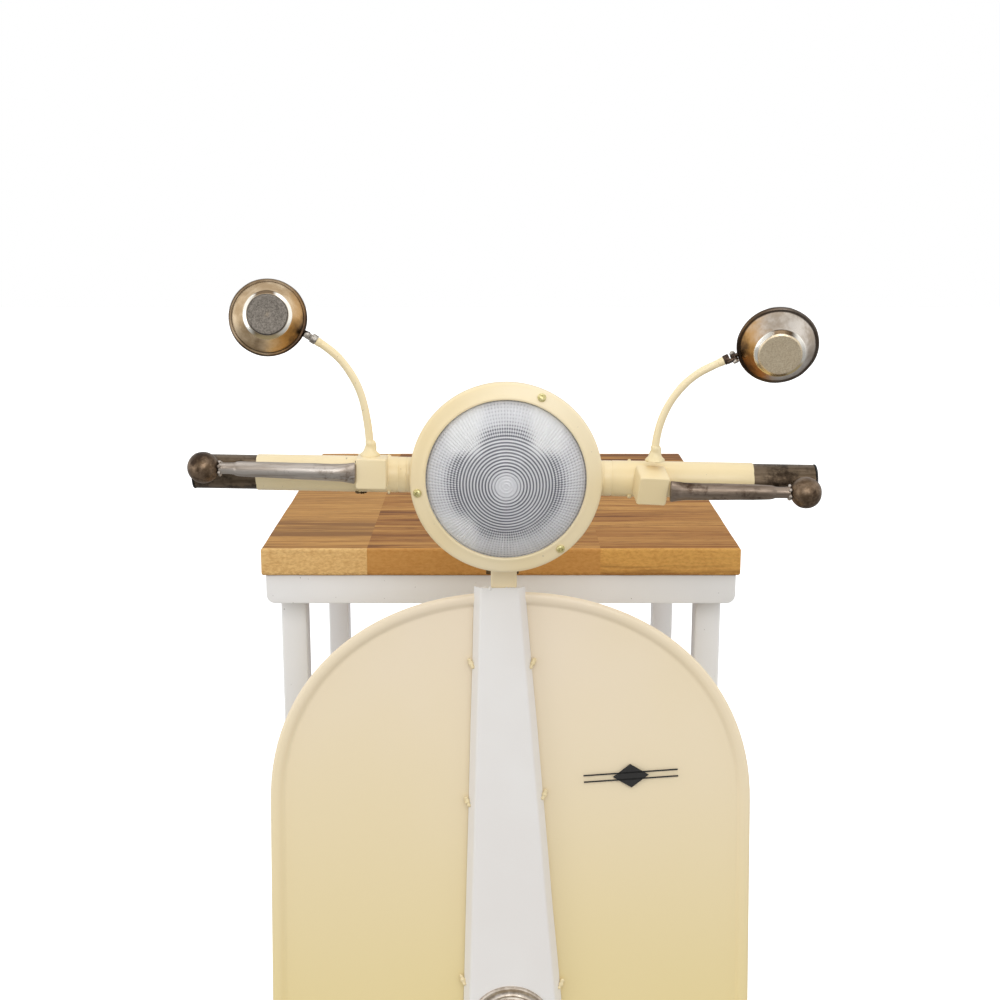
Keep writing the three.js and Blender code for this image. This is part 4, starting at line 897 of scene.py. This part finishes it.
# ---- mirrors --------------------------------------------------------------------------------
# A bent painted rod rises from each clamp. Its end carries a small bracket, and the pressed steel
# mirror pan swings there on a bolt. The pan's back has a rolled rim, a sloping wall tinted gold and
# brown by heat, and a raised flat; the flat and the polished step round it carry painted reflection.
# Its other side holds a round glass.
for hand in ("left", "right"):
    arm = from_frame("mirror_arm_" + hand, "mirror_%s_arm" % hand, 0)
    modify(arm, "SUBSURF", levels=2, render_levels=2)
    bpy.ops.object.mode_set(mode="EDIT")
    bpy.ops.mesh.select_all(action="SELECT")
    bpy.ops.transform.shrink_fatten(value=0.0001)
    bpy.ops.object.mode_set(mode="OBJECT")
    dent(arm, 0.02, 0.0003, seed=4)
    hand_over(arm, cream_tube, "stand", "cream_paint", "mirror_arm_" + hand, crease=60)
    base_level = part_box("mirror_arm_" + hand)[0].z
    ends = [v.co for v in arm.data.vertices if v.co.z < base_level + 0.003]
    foot = sum(ends, Vector()) / len(ends)
    foot.z = base_level - 0.001
    flare = turned("mirror_%s_arm_weld" % hand, [
        (0, 0), (0.0098, 0), (0.0096, 0.0014), (0.0078, 0.0032), (0.0064, 0.0060), (0.0054, 0.0092),
        (0.0048, 0.0125), (0.0044, 0.0155), (0.0030, 0.0160), (0, 0.0160)], 40)
    modify(flare, "SUBSURF", levels=1, render_levels=1)
    dent(flare, 0.0045, 0.0016, seed=2)
    fix(flare, Matrix.Translation(foot))
    hand_over(flare, cream_weld, "stand", "cream_paint", crease=60)
    bracket_low, bracket_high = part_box("mirror_bracket_" + hand)
    socket = (bracket_low + bracket_high) / 2
    spots = [v.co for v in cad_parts["mirror_arm_" + hand].data.vertices]
    nearest = min((spot - socket).length for spot in spots)
    last_ring = [spot for spot in spots if (spot - socket).length < nearest + 0.006]
    inner_ring = [spot for spot in spots if nearest + 0.006 < (spot - socket).length < nearest + 0.016]
    tip = sum(last_ring, Vector()) / len(last_ring)
    outward = (tip - sum(inner_ring, Vector()) / len(inner_ring)).normalized()
    collar = turned("mirror_%s_arm_end" % hand, [
        (0, -0.0060), (0.0036, -0.0060), (0.0040, -0.0052), (0.0042, -0.0030), (0.0042, -0.0004), (0.0040, 0),
        (0, 0)], 40)
    fix(collar, Matrix.Translation(tip) @ outward.to_track_quat("Z", "Y").to_matrix().to_4x4())
    hand_over(collar, cream_tube, "stand", "cream_paint", crease=40)

bracket_steels = {
    "left": bare_metal("bracket_steel_left", tint(196, 190, 180), tint(140, 130, 120),
                       tint(58, 46, 38), heat=0.4),
    "right": bare_metal("bracket_steel_right", tint(110, 92, 78), tint(72, 56, 46),
                        tint(30, 22, 18), heat=0.6),
}
bolt_steel = bare_metal("bolt_steel", tint(196, 190, 180), tint(158, 150, 140), tint(92, 80, 68), heat=0.3)
for hand in ("left", "right"):
    knuckle = "mirror_%s_knuckle" % hand
    for node, finish, slot in (("mirror_bracket_", bracket_steels[hand], "brown_steel"),
                               ("mirror_bolt_", bolt_steel, "bare_steel")):
        worn = from_frame(node + hand, node + hand + "_worn", 0.0003, 2, 30)
        hand_over(worn, finish, knuckle, slot, node + hand)

for hand, reflect in (("left", 0.0), ("right", 1.0)):
    glass_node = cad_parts["mirror_glass_" + hand]
    low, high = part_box("mirror_glass_" + hand)
    largest = max(glass_node.data.polygons, key=lambda f: f.area)
    normal = largest.normal.normalized()
    normal = normal if normal.y < 0 else -normal
    middle = sum((v.co for v in glass_node.data.vertices), Vector()) / len(glass_node.data.vertices)
    heights = [(v.co - middle).dot(normal) for v in glass_node.data.vertices]
    centre = middle + normal * ((max(heights) + min(heights)) / 2 + 0.0016)
    pan_radius = max((v.co - middle).cross(normal).length for v in glass_node.data.vertices) + 0.0034
    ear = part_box("mirror_bolt_" + hand)
    toward_bolt = (ear[0] + ear[1]) / 2 - centre
    toward_bolt = (toward_bolt - normal * toward_bolt.dot(normal)).normalized()
    basis = Matrix((toward_bolt, normal.cross(toward_bolt), normal)).transposed().to_4x4()
    pan_frame = Matrix.Translation(centre) @ basis
    pan_radius_flat = pan_radius * 0.51
    step = pan_radius * 0.61
    pan = turned("mirror_%s_pan" % hand, [
        (0, 0.0212), (pan_radius_flat * 0.6, 0.0214), (pan_radius_flat - 0.0022, 0.0219),
        (pan_radius_flat - 0.0006, 0.0218), (pan_radius_flat + 0.0004, 0.0211),
        (pan_radius_flat + 0.0020, 0.0200), (step - 0.0004, 0.0192), (step + 0.0003, 0.0186),
        (step + 0.0012, 0.0172), (pan_radius * 0.70, 0.0140), (pan_radius * 0.80, 0.0090),
        (pan_radius * 0.88, 0.0045), (pan_radius - 0.0034, 0.0022), (pan_radius - 0.0026, 0.0020),
        (pan_radius - 0.0016, 0.0021), (pan_radius - 0.0006, 0.0014), (pan_radius - 0.0001, 0.0002),
        (pan_radius - 0.0001, -0.0012), (pan_radius - 0.0008, -0.0021), (pan_radius - 0.0020, -0.0024),
        (pan_radius - 0.0029, -0.0021), (pan_radius - 0.0030, -0.0004), (pan_radius * 0.86, 0.0035),
        (pan_radius * 0.70, 0.0120), (step - 0.0014, 0.0172), (pan_radius_flat - 0.0016, 0.0200),
        (0, 0.0204)], 96)
    dent(pan, 0.014, 0.0003, seed=7 + reflect)
    fix(pan, pan_frame)
    pan_steel = Finish("mirror_%s_steel" % hand, Metallic=0.95)
    local = pan_steel.node("ShaderNodeVectorMath", {"operation": "SUBTRACT"}, {0: pan_steel.place, 1: centre})
    out_wards, depth = [
        pan_steel.node("ShaderNodeVectorMath", {"operation": "DOT_PRODUCT"}, {0: local, 1: way}, out=1)
        for way in (toward_bolt, normal)]
    flat = depth.between(0.0205, 0.0212)
    cloud = pan_steel.speckle(34, 4, rough=0.65)
    grit = pan_steel.speckle(620, 5, rough=0.8)
    burn = (out_wards + (cloud - 0.5) * 0.03)
    light_wall = (tint(236, 212, 176), tint(214, 206, 196))[int(reflect)]
    dark_wall = (tint(188, 160, 122), tint(168, 154, 138))[int(reflect)]
    wall_mix = pan_steel.blend(cloud.between(0.36, 0.62), light_wall, dark_wall)
    wall_mix = pan_steel.blend(burn.between(0.002, 0.028), wall_mix, tint(190, 146, 88))
    wall_mix = pan_steel.blend(burn.between(0.022, 0.036), wall_mix, tint(54, 42, 36))
    # The flat is dark grey on the left mirror and pale cream on the right: painted reflection on bare steel,
    # each mirror its own copy.
    light_flat = (tint(112, 106, 99), tint(246, 230, 200))[int(reflect)]
    dark_flat = (tint(74, 69, 63), tint(212, 192, 160))[int(reflect)]
    flat_steel_with_painted_reflection = pan_steel.blend(grit.between(0.35, 0.68), light_flat, dark_flat)
    base = pan_steel.blend(flat, wall_mix, flat_steel_with_painted_reflection)
    # The polished step between wall and flat is painted bright at the left and right, dark brown in the
    # middle and tan low down: a painted reflection of the studio.
    polished_step_with_painted_reflection = depth.between(0.0180, 0.0188) * (1 - depth.between(0.0205, 0.0210))
    level_x, _, level_z = pan_steel.axes()
    sideways = abs((level_x - centre.x) * (1 / step))
    low_down = (centre.z - level_z) * (1 / step)
    painted_reflection_band = pan_steel.blend(sideways.between(0.3, 0.62), tint(92, 76, 58), tint(250, 246, 236))
    painted_reflection_band = pan_steel.blend(low_down.between(0.45, 0.75), painted_reflection_band, tint(214, 192, 146))
    base = pan_steel.blend(polished_step_with_painted_reflection, base, painted_reflection_band)
    rim_band = depth.between(0.0035, 0.0020)
    base = pan_steel.blend(rim_band * 0.85, base, tint(56, 42, 32))
    pan_steel.give("Base Color", base)
    pan_steel.give("Roughness", 0.22 + 0.16 * cloud + 0.2 * flat * grit - 0.14 * polished_step_with_painted_reflection)
    pan_steel.relief(grit * 0.5 + pan_steel.speckle(60, 3) * 0.5, 0.0005, 0.35)
    ear_copy = from_frame("mirror_shell_" + hand, "mirror_%s_ear" % hand, 0)
    across = normal.cross(toward_bolt)
    for at, facing in ((centre + toward_bolt * (pan_radius - 0.0012), toward_bolt),
                       (centre - across * 0.0036, across), (centre + across * 0.0036, -across)):
        cut([at], facing, clear_inner=True, use_fill=True)
    head = "mirror_%s_head" % hand
    hand_over(ear_copy, bracket_steels["right"], head, "brown_steel", crease=30)
    hand_over(pan, pan_steel, head, "brown_steel", "mirror_shell_" + hand, crease=30)
    disc = turned("mirror_%s_disc" % hand, [
        (0, -0.0024), (pan_radius - 0.0046, -0.0024), (pan_radius - 0.0036, -0.0018),
        (pan_radius - 0.0034, -0.0009), (0, -0.0009)], 72)
    fix(disc, pan_frame)
    if hand == "left":
        mirror_silver = Finish("mirror_silver", Metallic=1.0, Roughness=0.03)
        smear = mirror_silver.speckle(40, 4)
        mirror_silver.give("Base Color", mirror_silver.blend(smear.between(0.4, 0.8), tint(236, 238, 238),
                                                             tint(220, 224, 224)))
        mirror_silver.give("Roughness", 0.02 + 0.05 * smear)
    hand_over(disc, mirror_silver, head, "mirror_glass", "mirror_glass_" + hand)

# ---- horn disc ------------------------------------------------------------------------------
# A pressed steel disc with a rolled edge and a raised middle on the strip's face, left bare.
disc_low, disc_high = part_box("horn_disc")
disc_radius = (disc_high.x - disc_low.x) / 2
disc_middle = (disc_low + disc_high) / 2
face_out = Vector((0, -math.cos(rake), math.sin(rake)))
disc_base = disc_middle - face_out * 0.006
horn_profile = [
    (0, 0.0002), (disc_radius - 0.0012, 0.0002), (disc_radius - 0.0001, 0.0012),
    (disc_radius - 0.0001, 0.0046), (disc_radius - 0.0007, 0.0058), (disc_radius - 0.0018, 0.0064),
    (disc_radius - 0.0034, 0.0060), (disc_radius - 0.0048, 0.0048), (disc_radius - 0.0066, 0.0042)]
for k in range(6):
    level = disc_radius - 0.0085 - 0.0036 * k
    horn_profile += [(level, 0.0048 + 0.0005 * k), (level - 0.0010, 0.0054 + 0.0005 * k),
                     (level - 0.0020, 0.0050 + 0.0005 * k), (level - 0.0028, 0.0046 + 0.0005 * k)]
horn_profile += [(0.0145, 0.0082), (0.0130, 0.0096), (0.0105, 0.0112), (0.0070, 0.0118), (0, 0.0119)]
horn = turned("horn_cover", horn_profile, 96)
horn_steel = bare_metal("horn_steel", tint(214, 204, 192), tint(176, 162, 146), tint(118, 92, 70), heat=0.25)
horn_seat = Matrix.Translation(disc_base) @ face_out.to_track_quat("Z", "Y").to_matrix().to_4x4()
hand_over(fix(horn, horn_seat), horn_steel, "stand", "bare_steel", "horn_disc", crease=40)

# ---- mudguard and fork ----------------------------------------------------------------------
# A deep U of pressed sheet over the wheel with a rolled edge, and a welded fork that carries the
# wheel on a bolt. Both are painted cream with the shield.
wheel_low, wheel_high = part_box("tyre")
wheel_at = (wheel_low + wheel_high) / 2
guard_half = 0.0598
guard_side = [
    (0.1482, -guard_half), (0.1492, -guard_half - 0.0001), (0.1700, -guard_half), (0.1790, -0.0572),
    (0.1868, -0.0512), (0.1915, -0.0430), (0.1952, -0.0330), (0.1978, -0.0220), (0.1992, -0.0110),
    (0.1997, -0.0030)]
guard_profile = guard_side + [(0.1999, 0.0)] + [(radius, -level) for radius, level in guard_side[::-1]]
guard = trace("mudguard_pressing", [(radius, 0, level) for radius, level in guard_profile])
bpy.ops.mesh.select_all(action="SELECT")
bpy.ops.mesh.spin(steps=72, angle=-math.radians(139.6), center=(0, 0, 0), axis=(0, 0, 1))
finish_shell()
if sum(f.normal.dot(Vector((f.center.x, f.center.y, 0))) * f.area for f in guard.data.polygons) < 0:
    guard.data.flip_normals()
modify(guard, "SOLIDIFY", thickness=0.002, offset=-1)
modify(guard, "BEVEL", width=0.0006, segments=2, limit_method="ANGLE", angle_limit=math.radians(60))
start = math.radians(8.2)
rise, run = math.sin(start), math.cos(start)
sweep_frame = Matrix(((0, 0, 1), (run, -rise, 0), (rise, run, 0)))
fix(guard, Matrix.Translation(wheel_at) @ sweep_frame.to_4x4())
hand_over(guard, cream_metal, "stand", "cream_paint", "mudguard", crease=35)
hand_over(from_frame("front_fork", "fork", 0.0016, 3, 30), cream_metal, "stand", "cream_paint", "front_fork")
for node in ("axle_bolt", "axle_nut"):
    hand_over(from_frame(node, node + "_worn", 0.0006, 2, 30), bolt_steel, "stand", "bare_steel", node)

# ---- wheel ----------------------------------------------------------------------------------
# A pressed white wheel with a hub, five wheel nuts and a rolled rim, and a black rubber tyre with
# cut tread. The wheel turns on the axle.
spin_frame = Matrix.Translation(wheel_at) @ Matrix.Rotation(math.pi / 2, 4, "Y")
rim = turned("wheel_disc", [
    (0.0062, -0.0338), (0.0190, -0.0338), (0.0198, -0.0330), (0.0200, -0.0150), (0.0215, -0.0122),
    (0.0270, -0.0090), (0.0340, -0.0062), (0.0420, -0.0056), (0.0600, -0.0062), (0.0780, -0.0058),
    (0.0860, -0.0080), (0.0950, -0.0140), (0.0990, -0.0190), (0.1020, -0.0262), (0.1045, -0.0295),
    (0.1090, -0.0300), (0.1150, -0.0299), (0.1159, -0.0292), (0.1159, -0.0272), (0.1140, -0.0256),
    (0.1105, -0.0222), (0.1090, -0.0120), (0.1081, 0.0), (0.1090, 0.0120), (0.1105, 0.0222),
    (0.1140, 0.0256), (0.1159, 0.0272), (0.1159, 0.0292), (0.1150, 0.0299), (0.1090, 0.0300),
    (0.1045, 0.0295), (0.1020, 0.0220), (0.1000, 0.0120), (0.0950, 0.0060), (0.0860, 0.0010),
    (0.0780, -0.0008), (0.0600, -0.0012), (0.0420, -0.0006), (0.0340, -0.0010), (0.0270, 0.0030),
    (0.0215, 0.0070), (0.0200, 0.0100), (0.0198, 0.0330), (0.0190, 0.0338), (0.0062, 0.0338),
    (0.0062, -0.0338)], 96)
hand_over(fix(rim, spin_frame), white_coat, "front_wheel", "white_paint", "wheel_rim", crease=35)
nuts = []
for k in range(5):
    turn = 2 * math.pi * k / 5
    for side, level in ((-1, -0.0090), (1, 0.0024)):
        nut = primitive(bpy.ops.mesh.primitive_cylinder_add, "wheel_nuts", vertices=6, radius=0.0062,
                        depth=0.0065, location=(0.050 * math.cos(turn), 0.050 * math.sin(turn), level))
        bpy.ops.object.mode_set(mode="EDIT")
        bpy.ops.mesh.select_all(action="SELECT")
        bpy.ops.mesh.bevel(offset=0.0006, segments=2)
        bpy.ops.object.mode_set(mode="OBJECT")
        nuts.append(nut)
for nut in nuts:
    nut.select_set(True)
bpy.ops.object.join()
wheel_nuts = fix(bpy.context.object)
hand_over(fix(wheel_nuts, spin_frame), bolt_steel, "front_wheel", "bare_steel")

tyre_segments = 120
tyre_side = [
    (0.1106, -0.0200), (0.1163, -0.0262), (0.1163, -0.0305), (0.1185, -0.0345), (0.1245, -0.0378),
    (0.1320, -0.0392), (0.1400, -0.0399), (0.1480, -0.0385), (0.1545, -0.0352), (0.1600, -0.0295),
    (0.1645, -0.0225), (0.1672, -0.0160), (0.1690, -0.0085)]
other_side = [(radius, -level) for radius, level in tyre_side[::-1]]
tyre = turned("rubber_tyre", tyre_side + [(0.1698, 0.0)] + other_side + [(0.1087, 0.0), tyre_side[0]],
              tyre_segments)


def tread_gap(face):
    """Every third block of the tread is a gap, and the two sides are out of step."""
    x, y, z = face.center
    block = math.atan2(y, x) / (2 * math.pi / tyre_segments) + (2 * tyre_segments + 0.5)
    block += 0.5 if z > 0 else 2.0
    return math.hypot(x, y) > 0.1625 and abs(z) > 0.004 and int(block) % 3 == 0


pick(tyre, "FACE", tread_gap)
bpy.ops.mesh.inset(thickness=0.0007, depth=0)
bpy.ops.mesh.extrude_region_shrink_fatten(TRANSFORM_OT_shrink_fatten={"value": -0.0028})
bpy.ops.object.mode_set(mode="OBJECT")
rubber = Finish("tyre_rubber", Specular_IOR_Level=0.35)
wear = rubber.speckle(45, 5, rough=0.7)
rubber.give("Base Color", rubber.blend(wear.between(0.4, 0.7), tint(38, 37, 36), tint(62, 60, 57)))
rubber.give("Roughness", 0.68 + 0.2 * wear)
rubber.relief(rubber.speckle(520, 3), 0.0004, 0.5)
hand_over(fix(tyre, spin_frame), rubber, "front_wheel", "tyre_rubber", "tyre", crease=35)
